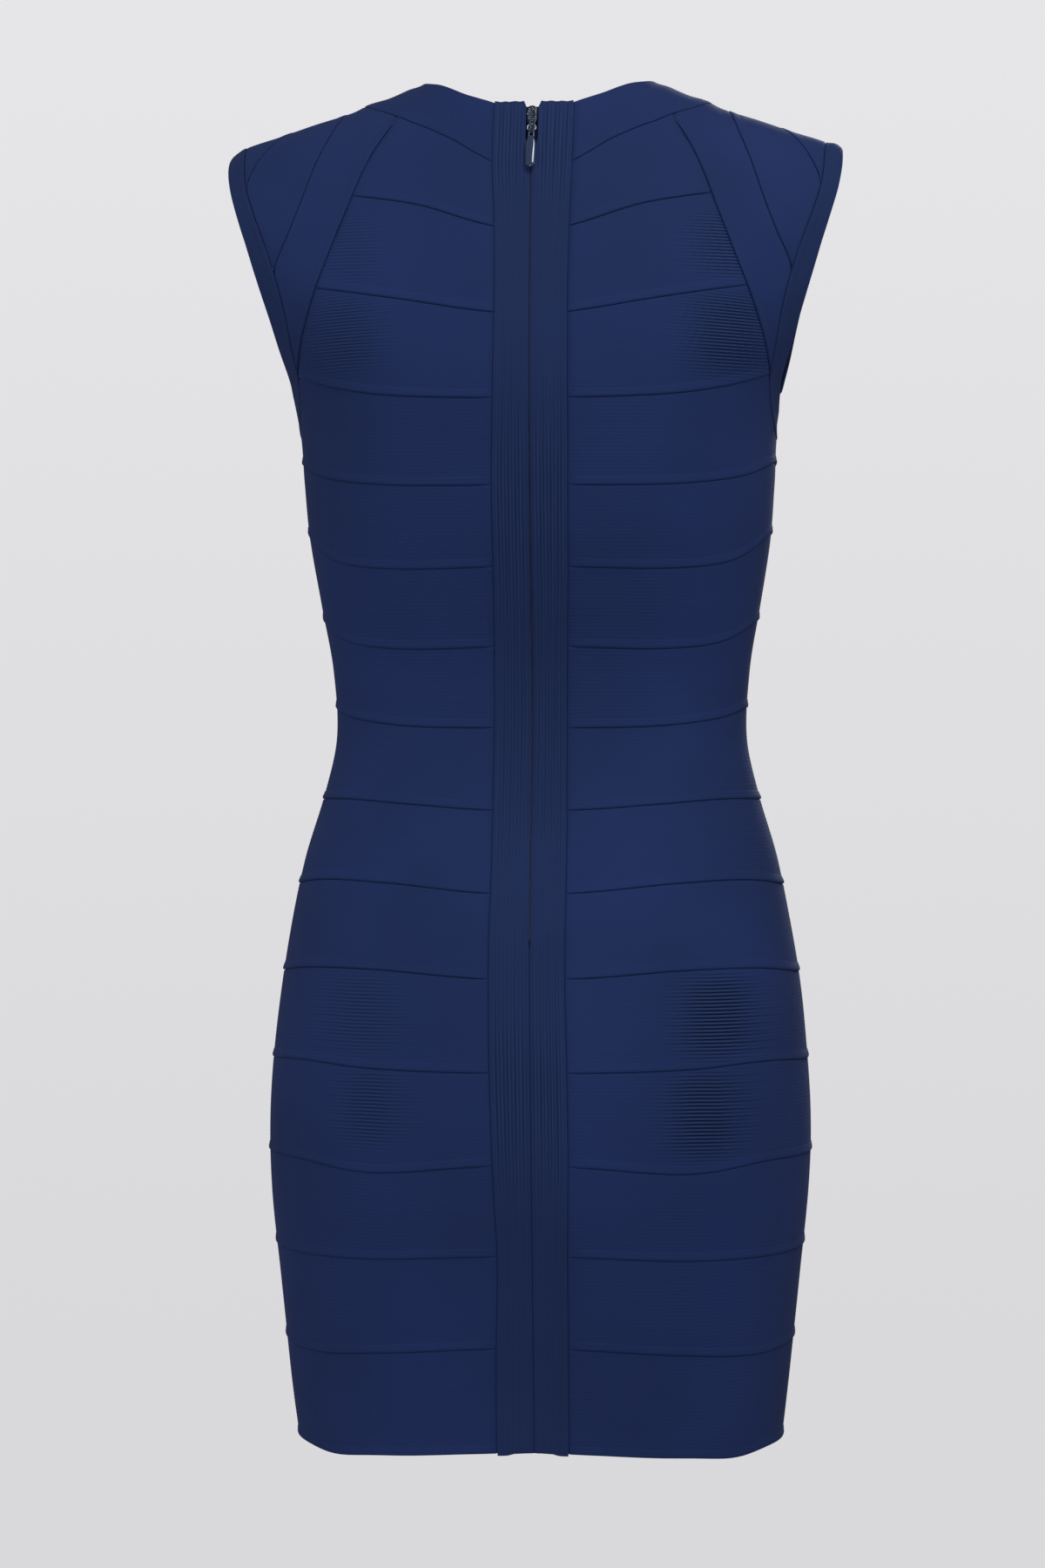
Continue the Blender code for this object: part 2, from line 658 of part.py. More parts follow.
def shoulder_strip(name, inner_column, outer_column, hand, columns):
    """A strip over the shoulder between two seams, to a blunt end on each side."""
    sides = []
    for side in (FRONT, BACK):
        leans = lean_stations(inner_column) if inner_column else lean_stations(CHEST_SEAM)
        leans[-1] -= BLUNT_END
        if inner_column == CHEST_SEAM:
            leans = sorted(leans + [joining_lean(side)])
        line = [(side, lean) for lean in leans]
        sides.append(line[:0:-1] if side == FRONT else line)
    rows = []
    for side, lean in sides[0] + sides[1]:
        inner = shoulder_seam(inner_column, lean, side)
        if inner_column == CHEST_SEAM:
            inner = max(inner, neck_seam_x(lean, side))
        outer = shoulder_seam(outer_column, lean, side)
        rows.append([over_shoulder(hand * (inner + (outer - inner) * t), lean, side)
                     for t in steps(columns)])

    def lift(row, column):
        return FOLD_LIFT if column == 0 and inner_column == CHEST_SEAM else 0.0

    cloth_wall(name, rows, (), lift)


def armhole_rows():
    """The armhole band's two edges, as (point on the seam, point on the open edge) for the right."""
    stations = []
    for side in (BACK, FRONT):
        quarter = []
        for lean in lean_stations(BAND_SEAM):
            seam = over_shoulder(shoulder_seam(BAND_SEAM, lean, side), lean, side)
            edge = over_shoulder(shoulder_seam(OPEN_EDGE, lean, side), lean, side)
            quarter.append((seam, edge))
        for seam_turn, seam_height, edge_turn, edge_height in UNDERARM_ROWS:
            quarter.append((around_body(seam_turn, seam_height, side, RIGHT),
                            around_body(edge_turn, edge_height, side, RIGHT)))
        stations.append(quarter)
    back, front = stations
    return back + front[-2::-1]


def make_armhole_bands():
    for word, hand in HANDS:
        mirror = Vector((hand, 1, 1))
        seams, edges = [], []
        for seam, edge in armhole_rows():
            seams.append(seam * mirror)
            edges.append(edge * mirror)
        cloth_wall(f"armhole_band_{word}", [seams, edges], ("bottom", "start", "end"), ring=True,
                   colour=NAVY_DEEP)


def make_shoulder_strips():
    for word, hand in HANDS:
        shoulder_strip(f"shoulder_strip_1_{word}", CHEST_SEAM, MIDDLE_SEAM, hand, 2)
        shoulder_strip(f"shoulder_strip_2_{word}", MIDDLE_SEAM, OUTER_SEAM, hand, 2)
        shoulder_strip(f"shoulder_strip_3_{word}", OUTER_SEAM, BAND_SEAM, hand, 2)


def make_neck_band():
    """One piece from centre band to centre band, over both shoulders and round the front."""
    right = []
    back_join, front_join = joining_lean(BACK), joining_lean(FRONT)
    seam_start = crossing(lambda lean: BAND_HALF - neck_seam_x(lean, BACK), 30.0, 52.9)
    line_start = crossing(lambda lean: BAND_HALF - neck_line_x(lean, BACK), 20.0, 41.9)
    for t in steps(ROUND_COLUMNS):
        seam = seam_start + (back_join - seam_start) * t
        share = seam / seam_start
        line = line_start * share**1.35
        right.append((BACK, (neck_seam_x(seam, BACK), seam), (neck_line_x(line, BACK), line)))
    last_line = right[-1][2][1]
    for seam in [lean for lean in (24.0, 12.0, 0.0) if lean < back_join - 1]:
        line = last_line * seam / back_join
        right.append((BACK, (neck_seam_x(seam, BACK), seam), (neck_line_x(line, BACK), line)))
    for seam in (12.0, 24.0, front_join):
        line = seam * 0.8
        right.append((FRONT, (neck_seam_x(seam, FRONT), seam), (neck_line_x(line, FRONT), line)))
    start_seam = math.asin(front_join / NECK_SEAM_FRONT_LEAN)
    start_line = math.asin(front_join * 0.8 / NECKLINE_FRONT_LEAN)
    for t in steps(ROUND_COLUMNS)[1:]:
        seam_angle = (start_seam + (math.pi / 2 - start_seam) * t) / (math.pi / 2)
        line_angle = (start_line + (math.pi / 2 - start_line) * t) / (math.pi / 2)
        right.append((FRONT,
                      neck_curve(NECK_SEAM_HALF, NECK_SEAM_FRONT_LEAN, NECK_ROUND, seam_angle),
                      neck_curve(NECKLINE_HALF, NECKLINE_FRONT_LEAN, NECK_ROUND, line_angle)))
    whole = [(RIGHT, entry) for entry in right]
    whole += [(LEFT, entry) for entry in reversed(right[:-1])]
    rows = []
    for t in (0.0, 0.5, 0.87, 1.0):
        row = []
        for hand, (side, seam, line) in whole:
            x = line[0] + (seam[0] - line[0]) * t
            lean = line[1] + (seam[1] - line[1]) * t
            row.append(over_shoulder(hand * x, lean, side))
        rows.append(row)
    cloth_wall("neck_band", rows, ("top",), lambda row, column: FOLD_LIFT if row == 3 else 0.0)


# ---------------------------------------------------------------- centre back

def band_top():
    """Height of the neckline at the centre bands' outer edge."""
    lean = crossing(lambda value: BAND_HALF - neck_line_x(value, BACK), 20.0, 41.9)
    return UNDERARM + shoulder_rise(BAND_HALF) * math.cos(math.radians(lean))


def band_inner_edge(height):
    """How far a centre band stops from the zip line: clear of the slider, then closed."""
    clear = SLIDER_WIDTH / 2 + SEAM_GAP
    if height > SLIDER_TOP:
        return clear + NOTCH * min(1.0, (height - SLIDER_TOP) / (band_top() - SLIDER_TOP))
    closed = min(max((SLIDER_BOTTOM - height) / CLOSING, 0.0), 1.0)
    return clear + (SEAM_GAP / 2 - clear) * closed


def band_heights():
    """Heights for the centre bands' rows, from the neckline to the hem."""
    heights = [band_top(), SLIDER_TOP, SLIDER_BOTTOM, SLIDER_BOTTOM - CLOSING]
    seams = [reading(UPPER_SEAM_1, BAND_HALF), reading(UPPER_SEAM_2, BAND_HALF),
             CHEST_SEAM_BACK[0][1]]
    for seam in seams + [row[0] for row in LEVEL_SEAMS]:
        heights += [(heights[-1] + seam) / 2, seam]
    return heights


def make_centre_bands():
    for word, hand in HANDS:
        rows = []
        for height in band_heights():
            inner = band_inner_edge(height)
            centre = zip_line(height)
            rows.append([on_body(centre + hand * (inner + (BAND_HALF - inner) * t), height, BACK)
                         for t in (0.0, 0.5, 1.0)])
        cloth_wall(f"centre_band_{word}", rows, ("top", "bottom", "start"), colour=NAVY_DEEP)


def make_zip_tape():
    heights = [height for height in band_heights() if SLIDER_TOP > height > ZIP_END]
    heights = [TAPE_TOP, *heights, ZIP_END - TAPE_TAIL]
    rows = [[on_body(zip_line(height) + TAPE_HALF * u, height, BACK) for u in (-1.0, 0.0, 1.0)]
            for height in heights]
    cloth_wall("zip_tape", rows, ("top", "bottom", "start", "end"), offset=-CLOTH - SEAM_GAP,
               thickness=TAPE_THICKNESS, colour=TAPE_NAVY)


def slider_frame():
    """Matrix whose +Z is the cloth's outward normal at the slider and +Y runs up the zip."""
    top, bottom = on_body(0, SLIDER_TOP, BACK), on_body(0, SLIDER_BOTTOM, BACK)
    up = (top - bottom).normalized()
    right = Vector((1, 0, 0))
    out = right.cross(up)
    frame = Matrix((right, up, out)).transposed().to_4x4()
    frame.translation = (top + bottom) / 2
    return frame, (top - bottom).length


def outline_solid(name, outlines, thickness):
    """A flat shape from closed outlines, holes included, as a solid of a thickness."""
    curve = bpy.data.curves.new(name, "CURVE")
    curve.dimensions = "2D"
    curve.fill_mode = "BOTH"
    curve.extrude = thickness / 2
    for outline in outlines:
        spline = curve.splines.new("POLY")
        spline.points.add(len(outline) - 1)
        for point, (x, y) in zip(spline.points, outline):
            point.co = (x, y, 0, 1)
        spline.use_cyclic_u = True
    return solid_from_curve(name, curve)


def solid_from_curve(name, curve):
    """Mesh object of a curve, with its caps welded on."""
    maker = bpy.data.objects.new(name + "_curve", curve)
    dress.objects.link(maker)
    bpy.context.view_layer.update()
    evaluated = maker.evaluated_get(bpy.context.evaluated_depsgraph_get())
    mesh = bpy.data.meshes.new_from_object(evaluated)
    bm = bmesh.new()
    bm.from_mesh(mesh)
    bmesh.ops.remove_doubles(bm, verts=bm.verts, dist=1e-6)
    bmesh.ops.recalc_face_normals(bm, faces=bm.faces)
    bm.to_mesh(mesh)
    bm.free()
    bpy.data.objects.remove(maker)
    piece = bpy.data.objects.new(name, mesh)
    dress.objects.link(piece)
    return piece


def make_slider():
    """Body of the slider with the wire bridge that holds the pull tab."""
    frame, length = slider_frame()
    face = SLIDER_PROUD
    bm = bmesh.new()
    bmesh.ops.create_cube(bm, size=1.0)
    for vert in bm.verts:
        taper = SLIDER_TAPER if vert.co.y < 0 else 1.0
        vert.co = Vector((vert.co.x * SLIDER_WIDTH * taper, vert.co.y * length,
                          face - SLIDER_DEPTH * (0.5 - vert.co.z)))
    slider = new_object("zip_slider", bm, ENAMEL, 0.25, 0.3)
    bevel = slider.modifiers.new("rounded edges", "BEVEL")
    bevel.width = 0.0006
    bevel.segments = 2
    slider.matrix_world = frame

    hinge = hinge_in_frame(frame)
    wire = bpy.data.curves.new("bridge", "CURVE")
    wire.dimensions = "3D"
    wire.bevel_depth = BRIDGE_WIRE
    wire.bevel_resolution = 2
    wire.use_fill_caps = True
    spline = wire.splines.new("POLY")
    arch = [(-BRIDGE_RADIUS, -HINGE_HEIGHT - 0.0006)]
    arch += [(-BRIDGE_RADIUS * math.cos(math.pi * t), BRIDGE_RADIUS * math.sin(math.pi * t))
             for t in steps(8)]
    arch += [(BRIDGE_RADIUS, -HINGE_HEIGHT - 0.0006)]
    spline.points.add(len(arch) - 1)
    for point, (along, out) in zip(spline.points, arch):
        point.co = (0, hinge.y + along, hinge.z + out, 1)
    bridge = solid_from_curve("bridge", wire)
    bridge.matrix_world = frame
    join = slider.modifiers.new("bridge", "BOOLEAN")
    join.operation = "UNION"
    join.solver = "EXACT"
    join.object = bridge
    bridge.hide_render = True
    bridge.display_type = "WIRE"
    dress.objects.unlink(bridge)
    cutters.objects.link(bridge)


def hinge_in_frame(frame):
    """The pull tab's hinge in the slider's own frame."""
    level = (frame.inverted() @ on_body(0, HINGE_LEVEL, BACK)).y
    return Vector((0, level, SLIDER_PROUD + HINGE_HEIGHT))


def make_pull_tab():
    """Tapered tab hung by its eye on the bridge, its origin on the hinge axis."""
    frame, _ = slider_frame()
    half_eye, half_tab = TAB_EYE_WIDTH / 2, TAB_WIDTH / 2
    top = TAB_THICKNESS / 2
    low = -TAB_LENGTH + half_tab
    outline = [(-half_eye + 0.0006, top), (half_eye - 0.0006, top), (half_eye, top - 0.0008),
               (half_eye, EYE_BOTTOM - 0.0010), (half_tab * 0.86, low * 0.55), (half_tab, low * 0.86)]
    outline += [(half_tab * math.cos(angle), low + half_tab * math.sin(angle))
                for angle in [-math.pi * t for t in steps(8)]]
    outline += [(-half_tab, low * 0.86), (-half_tab * 0.86, low * 0.55),
                (-half_eye, EYE_BOTTOM - 0.0010), (-half_eye, top - 0.0008)]
    eye = [(-EYE_HALF_WIDTH, EYE_BOTTOM), (EYE_HALF_WIDTH, EYE_BOTTOM),
           (EYE_HALF_WIDTH, EYE_TOP), (-EYE_HALF_WIDTH, EYE_TOP)]
    tab = outline_solid("zip_pull_tab", (outline, eye), TAB_THICKNESS)
    set_material(tab, ENAMEL, 0.2, 0.5)
    tab.location = frame @ hinge_in_frame(frame)
    tab.rotation_euler = (math.radians(90 - TAB_LEAN), 0, 0)


# ---------------------------------------------------------------- assembly

for item in list(bpy.data.objects):
    bpy.data.objects.remove(item, do_unlink=True)
dress = bpy.data.collections.new("knit dress")
cutters = bpy.data.collections.new("cutters")
bpy.context.scene.collection.children.link(dress)
bpy.context.scene.collection.children.link(cutters)

make_neck_band()
make_shoulder_strips()
make_armhole_bands()
make_back_strips()
make_front_strips()
make_level_strips()
make_centre_bands()
make_zip_tape()
make_slider()
make_pull_tab()
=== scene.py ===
# Sleeveless knit dress: the finish of every piece, worked out on the same form as its solids.
# Metres, +Z up, the back faces -Y.
import math

import bpy
import numpy as np
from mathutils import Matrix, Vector


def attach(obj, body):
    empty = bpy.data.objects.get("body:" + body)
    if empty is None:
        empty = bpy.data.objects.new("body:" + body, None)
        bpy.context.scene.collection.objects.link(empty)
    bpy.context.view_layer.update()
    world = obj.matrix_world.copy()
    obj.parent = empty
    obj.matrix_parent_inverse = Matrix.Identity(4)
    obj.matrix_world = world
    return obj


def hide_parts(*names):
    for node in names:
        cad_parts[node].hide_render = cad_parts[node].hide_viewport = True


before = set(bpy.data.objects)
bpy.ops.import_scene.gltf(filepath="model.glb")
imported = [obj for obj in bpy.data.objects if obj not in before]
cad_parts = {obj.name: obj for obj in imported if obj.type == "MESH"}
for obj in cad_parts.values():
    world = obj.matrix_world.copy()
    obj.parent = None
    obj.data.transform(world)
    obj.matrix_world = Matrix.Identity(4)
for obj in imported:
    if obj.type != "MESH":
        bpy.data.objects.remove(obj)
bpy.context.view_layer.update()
print("frame loaded:", len(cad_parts), "nodes")

back, front = -1, 1
left, right = -1, 1
hands = {"left": left, "right": right}


def placed(name, data):
    made = bpy.data.objects.new(name, data)
    bpy.context.scene.collection.objects.link(made)
    return made


# Camera

camera = {
    "distance": 2.6,  # from the dress's own axis
    "azimuth": 3.6,  # degrees towards +X from straight behind the wearer
    "height": -0.429,
    "lens": 97.56,
    "pan": 0.235,  # degrees that the view is turned so that the dress sits right of centre
}


def makeCamera(spec):
    data = bpy.data.cameras.new("camera")
    data.sensor_fit = "VERTICAL"
    data.sensor_height = 36.0
    data.lens = spec["lens"]
    made = placed("camera", data)
    azimuth = math.radians(spec["azimuth"])
    made.location = (spec["distance"] * math.sin(azimuth), -spec["distance"] * math.cos(azimuth),
                     spec["height"])
    made.rotation_euler = (math.radians(90), 0, azimuth + math.radians(spec["pan"]))
    bpy.context.scene.camera = made


makeCamera(camera)

# The form that the dress is cut for

form = {
    "squareness": 2.4,  # of a level section: 2 is an ellipse, more is squarer
    "underarm": -0.215,  # above this height the form rounds over to the shoulder line
    "sections": (  # height, half width, depth of the back, depth of the front
        (-0.860, 0.1450, 0.0900, 0.0900),
        (-0.838, 0.1465, 0.0910, 0.0920),
        (-0.780, 0.1525, 0.0985, 0.0955),
        (-0.725, 0.1583, 0.1085, 0.0985),
        (-0.675, 0.1630, 0.1175, 0.1010),
        (-0.625, 0.1638, 0.1220, 0.1040),
        (-0.575, 0.1600, 0.1190, 0.1085),
        (-0.525, 0.1535, 0.1090, 0.1105),
        (-0.475, 0.1438, 0.0935, 0.1080),
        (-0.435, 0.1320, 0.0800, 0.1020),
        (-0.400, 0.1247, 0.0730, 0.0960),
        (-0.360, 0.1268, 0.0745, 0.0950),
        (-0.320, 0.1343, 0.0840, 0.1070),
        (-0.280, 0.1408, 0.0945, 0.1245),
        (-0.245, 0.1436, 0.1015, 0.1330),
        (-0.215, 0.1460, 0.1055, 0.1290),
        (-0.190, 0.1530, 0.1085, 0.1190),
        (-0.160, 0.1680, 0.1110, 0.1080),
        (-0.120, 0.1905, 0.1110, 0.0960),
        (-0.080, 0.2090, 0.1090, 0.0870),
        (-0.040, 0.2200, 0.1060, 0.0820),
        (0.050, 0.2250, 0.1000, 0.0800),
    ),
    "shoulderLine": (  # distance from the centre, height
        (0.0000, 0.0450),
        (0.0350, 0.0300),
        (0.0700, 0.0005),
        (0.0805, -0.0045),
        (0.0915, -0.0093),
        (0.1020, -0.0125),
        (0.1125, -0.0178),
        (0.1340, -0.0246),
        (0.1550, -0.0318),
        (0.1740, -0.0378),
        (0.1860, -0.0435),
        (0.2150, -0.0580),
    ),
}


def reading(rows, at, column=1):
    # smooth curve through a table: cubic pieces whose slope at a row is that of its neighbours' chord
    rows = np.asarray(rows, float)
    x, y = rows[:, 0], rows[:, column]
    slope = np.empty_like(y)
    slope[1:-1] = (y[2:] - y[:-2]) / (x[2:] - x[:-2])
    slope[0] = (y[1] - y[0]) / (x[1] - x[0])
    slope[-1] = (y[-1] - y[-2]) / (x[-1] - x[-2])
    at = np.clip(at, x[0], x[-1])
    low = np.clip(np.searchsorted(x, at, side="left") - 1, 0, len(x) - 2)
    span = x[low + 1] - x[low]
    t = (at - x[low]) / span
    return (y[low] * (2 * t**3 - 3 * t**2 + 1) + slope[low] * span * (t**3 - 2 * t**2 + t)
            + y[low + 1] * (3 * t**2 - 2 * t**3) + slope[low + 1] * span * (t**3 - t**2))


def ease(t):
    # 0 below 0, 1 above 1, smooth between
    t = np.clip(t, 0.0, 1.0)
    return t * t * (3 - 2 * t)


def halfWidth(z):
    return reading(form["sections"], z, 1)


def depthOf(z, side):
    # of the form's back or front at a height
    return np.where(side < 0, reading(form["sections"], z, 2), reading(form["sections"], z, 3))


def riseOf(x):
    # height of the shoulder line above the underarm
    return reading(form["shoulderLine"], np.abs(x)) - form["underarm"]


def fullnessAt(x, z):
    # (1 - |x / half width|^n)^(1/n)
    n = form["squareness"]
    return np.maximum(0.0, 1 - (np.abs(x) / halfWidth(z)) ** n) ** (1 / n)


def riseShare(x, z):
    # share of the way from the underarm to the shoulder line
    return np.maximum(0.0, z - form["underarm"]) / riseOf(x)


def roundingAt(x, z):
    # sqrt(1 - share^2)
    return np.sqrt(np.maximum(0.0, 1 - riseShare(x, z) ** 2))


def onForm(x, z, side):
    # point at a distance from the centre and a height
    return np.stack([x, side * depthOf(z, side) * fullnessAt(x, z) * roundingAt(x, z), z], -1)


def heightAt(x, lean):
    # underarm + rise cos(lean): a lean is 0 on the shoulder line and 90 at underarm level
    return form["underarm"] + riseOf(x) * np.cos(np.radians(lean))


def leanAt(x, z):
    # the other way round: arccos((z - underarm) / rise)
    return np.degrees(np.arccos(np.minimum(1.0, (z - form["underarm"]) / riseOf(x))))


def overShoulder(x, lean, side):
    # point at a distance from the centre and a lean
    z = heightAt(x, lean)
    y = side * depthOf(z, side) * fullnessAt(x, z) * np.sin(np.radians(lean))
    return np.stack([x, y, z], -1)


def roundBody(around, z, hand):
    # point at an angle round from the centre back, 180 at the centre front, and a height
    side = np.where(around < 90, back, front)
    turn = np.radians(np.abs(90 - around))
    power = 2 / form["squareness"]
    x = halfWidth(z) * np.maximum(0.0, np.cos(turn)) ** power
    y = depthOf(z, side) * np.maximum(0.0, np.sin(turn)) ** power * roundingAt(x, z)
    return np.stack([hand * x, side * y, z], -1)


def beyondForm(p, power):
    # (y / depth)^power - fullness^power rounding^power: below 0 inside the form, above 0 outside
    x, y, z = p[..., 0], p[..., 1], p[..., 2]
    side = np.where(y < 0, back, front)
    n = form["squareness"]
    full = 1 - (np.abs(x) / halfWidth(z)) ** n  # runs on below 0 beyond the half width
    full = np.sign(full) * np.abs(full) ** (power / n)
    return (np.abs(y) / depthOf(z, side)) ** power - full * roundingAt(x, z) ** power


def outward(p):
    # unit normal of the form, its gradient by central differences: near the sides with the
    # section's own power, which is smooth there, and elsewhere with squares
    def gradient(power, step=1e-5):
        return np.stack([beyondForm(p + step * axis, power) - beyondForm(p - step * axis, power)
                         for axis in np.eye(3)], -1)

    nearSide = (np.abs(p[..., 0]) > 0.9 * halfWidth(p[..., 2]))[..., None]
    normal = np.where(nearSide, gradient(form["squareness"]), gradient(2.0))
    return normal / np.linalg.norm(normal, axis=-1, keepdims=True)


# Seam lines

seams = {
    "necklineFront": {"half": 0.0710, "lean": 60.0},
    "necklineBack": (  # lean, distance from the centre
        (-8.0, 0.0698),
        (0.0, 0.0710),
        (8.0, 0.0698),
        (15.8, 0.0652),
        (23.2, 0.0573),
        (29.4, 0.0491),
        (34.1, 0.0409),
        (37.6, 0.0315),
        (39.8, 0.0228),
        (41.2, 0.0140),
        (42.0, 0.0050),
    ),
    "neckSeamFront": {"half": 0.1060, "lean": 68.5},
    "neckSeamBack": (  # lean, distance from the centre
        (-13.0, 0.1015),
        (0.0, 0.1060),
        (13.0, 0.1015),
        (24.5, 0.0845),
        (32.0, 0.0705),
        (40.0, 0.0555),
        (44.0, 0.0467),
        (48.4, 0.0357),
        (51.6, 0.0242),
        (56.0, 0.0060),
    ),
    # lean, then distance from the centre of the seam beside the chest strips, of the next two
    # seams, of the armhole band's seam and of its open edge
    "shoulder": (
        (0.0, 0.0600, 0.1160, 0.1475, 0.1760, 0.1865),
        (12.0, 0.0690, 0.1185, 0.1555, 0.1757, 0.1863),
        (24.0, 0.0800, 0.1240, 0.1662, 0.1750, 0.1855),
        (35.0, 0.0945, 0.1316, 0.1732, 0.1732, 0.1828),
        (44.0, 0.1045, 0.1384, 0.1680, 0.1680, 0.1780),
        (52.0, 0.1130, 0.1458, 0.1612, 0.1612, 0.1722),
        (60.0, 0.1220, 0.1545, 0.1545, 0.1545, 0.1662),
        (67.0, 0.1305, 0.1493, 0.1493, 0.1493, 0.1602),
        (74.0, 0.1375, 0.1455, 0.1455, 0.1455, 0.1545),
        (80.5, 0.1425, 0.1425, 0.1425, 0.1425, 0.1495),
    ),
    "runIn": {1: 80.5, 2: 60.0, 3: 35.0},  # lean where a seam runs into the armhole band
    "frontScoop": 0.0060,
    # turn and height of the armhole band's seam, then of its open edge
    "underarm": (
        (19.5, -0.1985, 12.5, -0.1930),
        (13.0, -0.2095, 8.0, -0.2010),
        (6.5, -0.2165, 4.0, -0.2062),
        (0.0, -0.2190, 0.0, -0.2080),
    ),
    "corner": 64.0,  # round from the centre back, where the chest seam meets the armhole band
    # height at the centre back, at 30 and 55 degrees round, at the side and at the centre front
    "level": (
        (-0.2527, -0.2518, -0.2462, -0.2335, -0.2520),
        (-0.3002, -0.3010, -0.2958, -0.2756, -0.3000),
        (-0.3471, -0.3483, -0.3441, -0.3283, -0.3430),
        (-0.3954, -0.3944, -0.3900, -0.3820, -0.3900),
        (-0.4447, -0.4406, -0.4376, -0.4380, -0.4410),
        (-0.4937, -0.4877, -0.4857, -0.4895, -0.4910),
        (-0.5435, -0.5385, -0.5379, -0.5424, -0.5430),
        (-0.5977, -0.5962, -0.5927, -0.5948, -0.5960),
        (-0.6518, -0.6575, -0.6517, -0.6508, -0.6520),
        (-0.7057, -0.7092, -0.7091, -0.7070, -0.7080),
        (-0.7611, -0.7658, -0.7684, -0.7638, -0.7640),
        (-0.8242, -0.8277, -0.8270, -0.8246, -0.8250),
    ),
    "hemDip": (51.0, 12.0, 0.0028),  # the hem sinks by this, this far round from the centre back
    "chestBack": ((0.0, -0.2020), (27.0, -0.1996), (46.0, -0.1936), (64.0, -0.1841)),
    "chestFront": ((0.0, -0.2080), (27.0, -0.2055), (46.0, -0.1980), (64.0, -0.1841)),
    "upperBack1": ((0.0, -0.1014), (0.0235, -0.0998), (0.0670, -0.0853), (0.1075, -0.0775)),
    "upperBack2": ((0.0, -0.1520), (0.0235, -0.1516), (0.0740, -0.1429), (0.1277, -0.1336)),
    "upperFront1": ((0.0, -0.1060), (0.0600, -0.0990), (0.1100, -0.0900)),
    "upperFront2": ((0.0, -0.1590), (0.0600, -0.1560), (0.1250, -0.1430)),
    "bandHalf": 0.0228,
    "zipDrift": 0.0024,  # of the zip towards +X, over these heights
    "driftFrom": -0.45,
    "driftTo": -0.66,
    "zipEnd": -0.525,
}
chestSeam, middleSeam, outerSeam, bandSeam, openEdge = 1, 2, 3, 4, 5


def crossing(difference, low, high):
    # where a function changes sign, by halving
    rising = difference(high) > difference(low)
    for _ in range(40):
        middle = (low + high) / 2
        if (difference(middle) > 0) == rising:
            high = middle
        else:
            low = middle
    return (low + high) / 2


def zipLine(z):
    # the zip's distance from the centre
    return seams["zipDrift"] * ease((seams["driftFrom"] - z) / (seams["driftFrom"] - seams["driftTo"]))


def shoulderSeam(column, lean, side):
    # distance from the centre: the seam's own column, or the armhole band's seam once it has run
    # in there, less scoop sin(lean) in front
    lean = np.asarray(lean, float)
    rows = seams["shoulder"]
    table = [(-rows[1][0], *rows[1][1:]), *rows]  # smooth over the shoulder line
    x = reading(table, lean, column)
    if column < bandSeam:
        x = np.where(lean > seams["runIn"][column], reading(table, lean, bandSeam), x)
    scoop = seams["frontScoop"] * np.sin(math.pi * lean / table[-1][0])
    return x - np.where(np.asarray(side) > 0, scoop, 0.0)


def neckX(line, lean, side):
    # distance from the centre: from the line's table behind, half sqrt(1 - (lean / end)^2) in front
    if side == back:
        return reading(seams[line + "Back"], lean)
    edge = seams[line + "Front"]
    return edge["half"] * np.sqrt(np.maximum(0.0, 1 - (np.abs(lean) / edge["lean"]) ** 2))


def neckSeamX(lean, side):
    return neckX("neckSeam", lean, side)


def neckLineX(lean, side):
    return neckX("neckline", lean, side)


def leanAtBand(lineX):
    # where the neckline or the neck seam meets a centre band's outer seam
    return crossing(lambda lean: seams["bandHalf"] - lineX(lean, back), 20.0, 55.0)


def joiningLean(side):
    # where the neck seam meets the chest seam
    return crossing(lambda lean: shoulderSeam(chestSeam, lean, side) - neckSeamX(lean, side), 10.0, 45.0)


def seamLean(rows, side):
    # where a seam between two upper strips meets the chest seam
    def gap(lean):
        x = shoulderSeam(chestSeam, lean, side)
        return leanAt(x, reading(rows, x)) - lean
    return crossing(gap, joiningLean(side), 79.0)


def levelHeight(number, around):
    # from the seam's row, mirrored past the centre back and front. The hem dips by a bell curve.
    row = seams["level"][number]
    rows = [(-30.0, row[1]), *zip((0.0, 30.0, 55.0, 90.0, 180.0), row), (270.0, row[3])]
    z = reading(rows, around)
    if number == len(seams["level"]) - 1:
        middle, spread, dip = seams["hemDip"]
        z = z - dip * np.exp(-(((around - middle) / spread) ** 2))
    return z


def chestHeight(folded, side):
    # of the chest strip's top, at an angle from the centre back or the centre front
    rows = seams["chestBack"] if side == back else seams["chestFront"]
    return reading([(-rows[1][0], rows[1][1]), *rows], folded)


def firstTop(around):
    # top of the first level strip: the chest seams, and the armhole band's seam between them
    under = [(90 - row[0], row[1]) for row in seams["underarm"]]
    lower = [(seams["corner"], seams["chestBack"][-1][1]), *under]
    lower.append((180 - lower[-2][0], lower[-2][1]))
    folded = np.minimum(around, 180 - around)
    chest = np.where(around < 90, chestHeight(folded, back), chestHeight(folded, front))
    return np.where(folded >= seams["corner"], reading(lower, folded), chest)


def bandEdgeAngle(z, hand):
    # round from the centre back to a centre band's outer seam
    x = seams["bandHalf"] + hand * zipLine(z)
    return 90 - np.degrees(np.arccos((x / halfWidth(z)) ** (form["squareness"] / 2)))


# Cloth

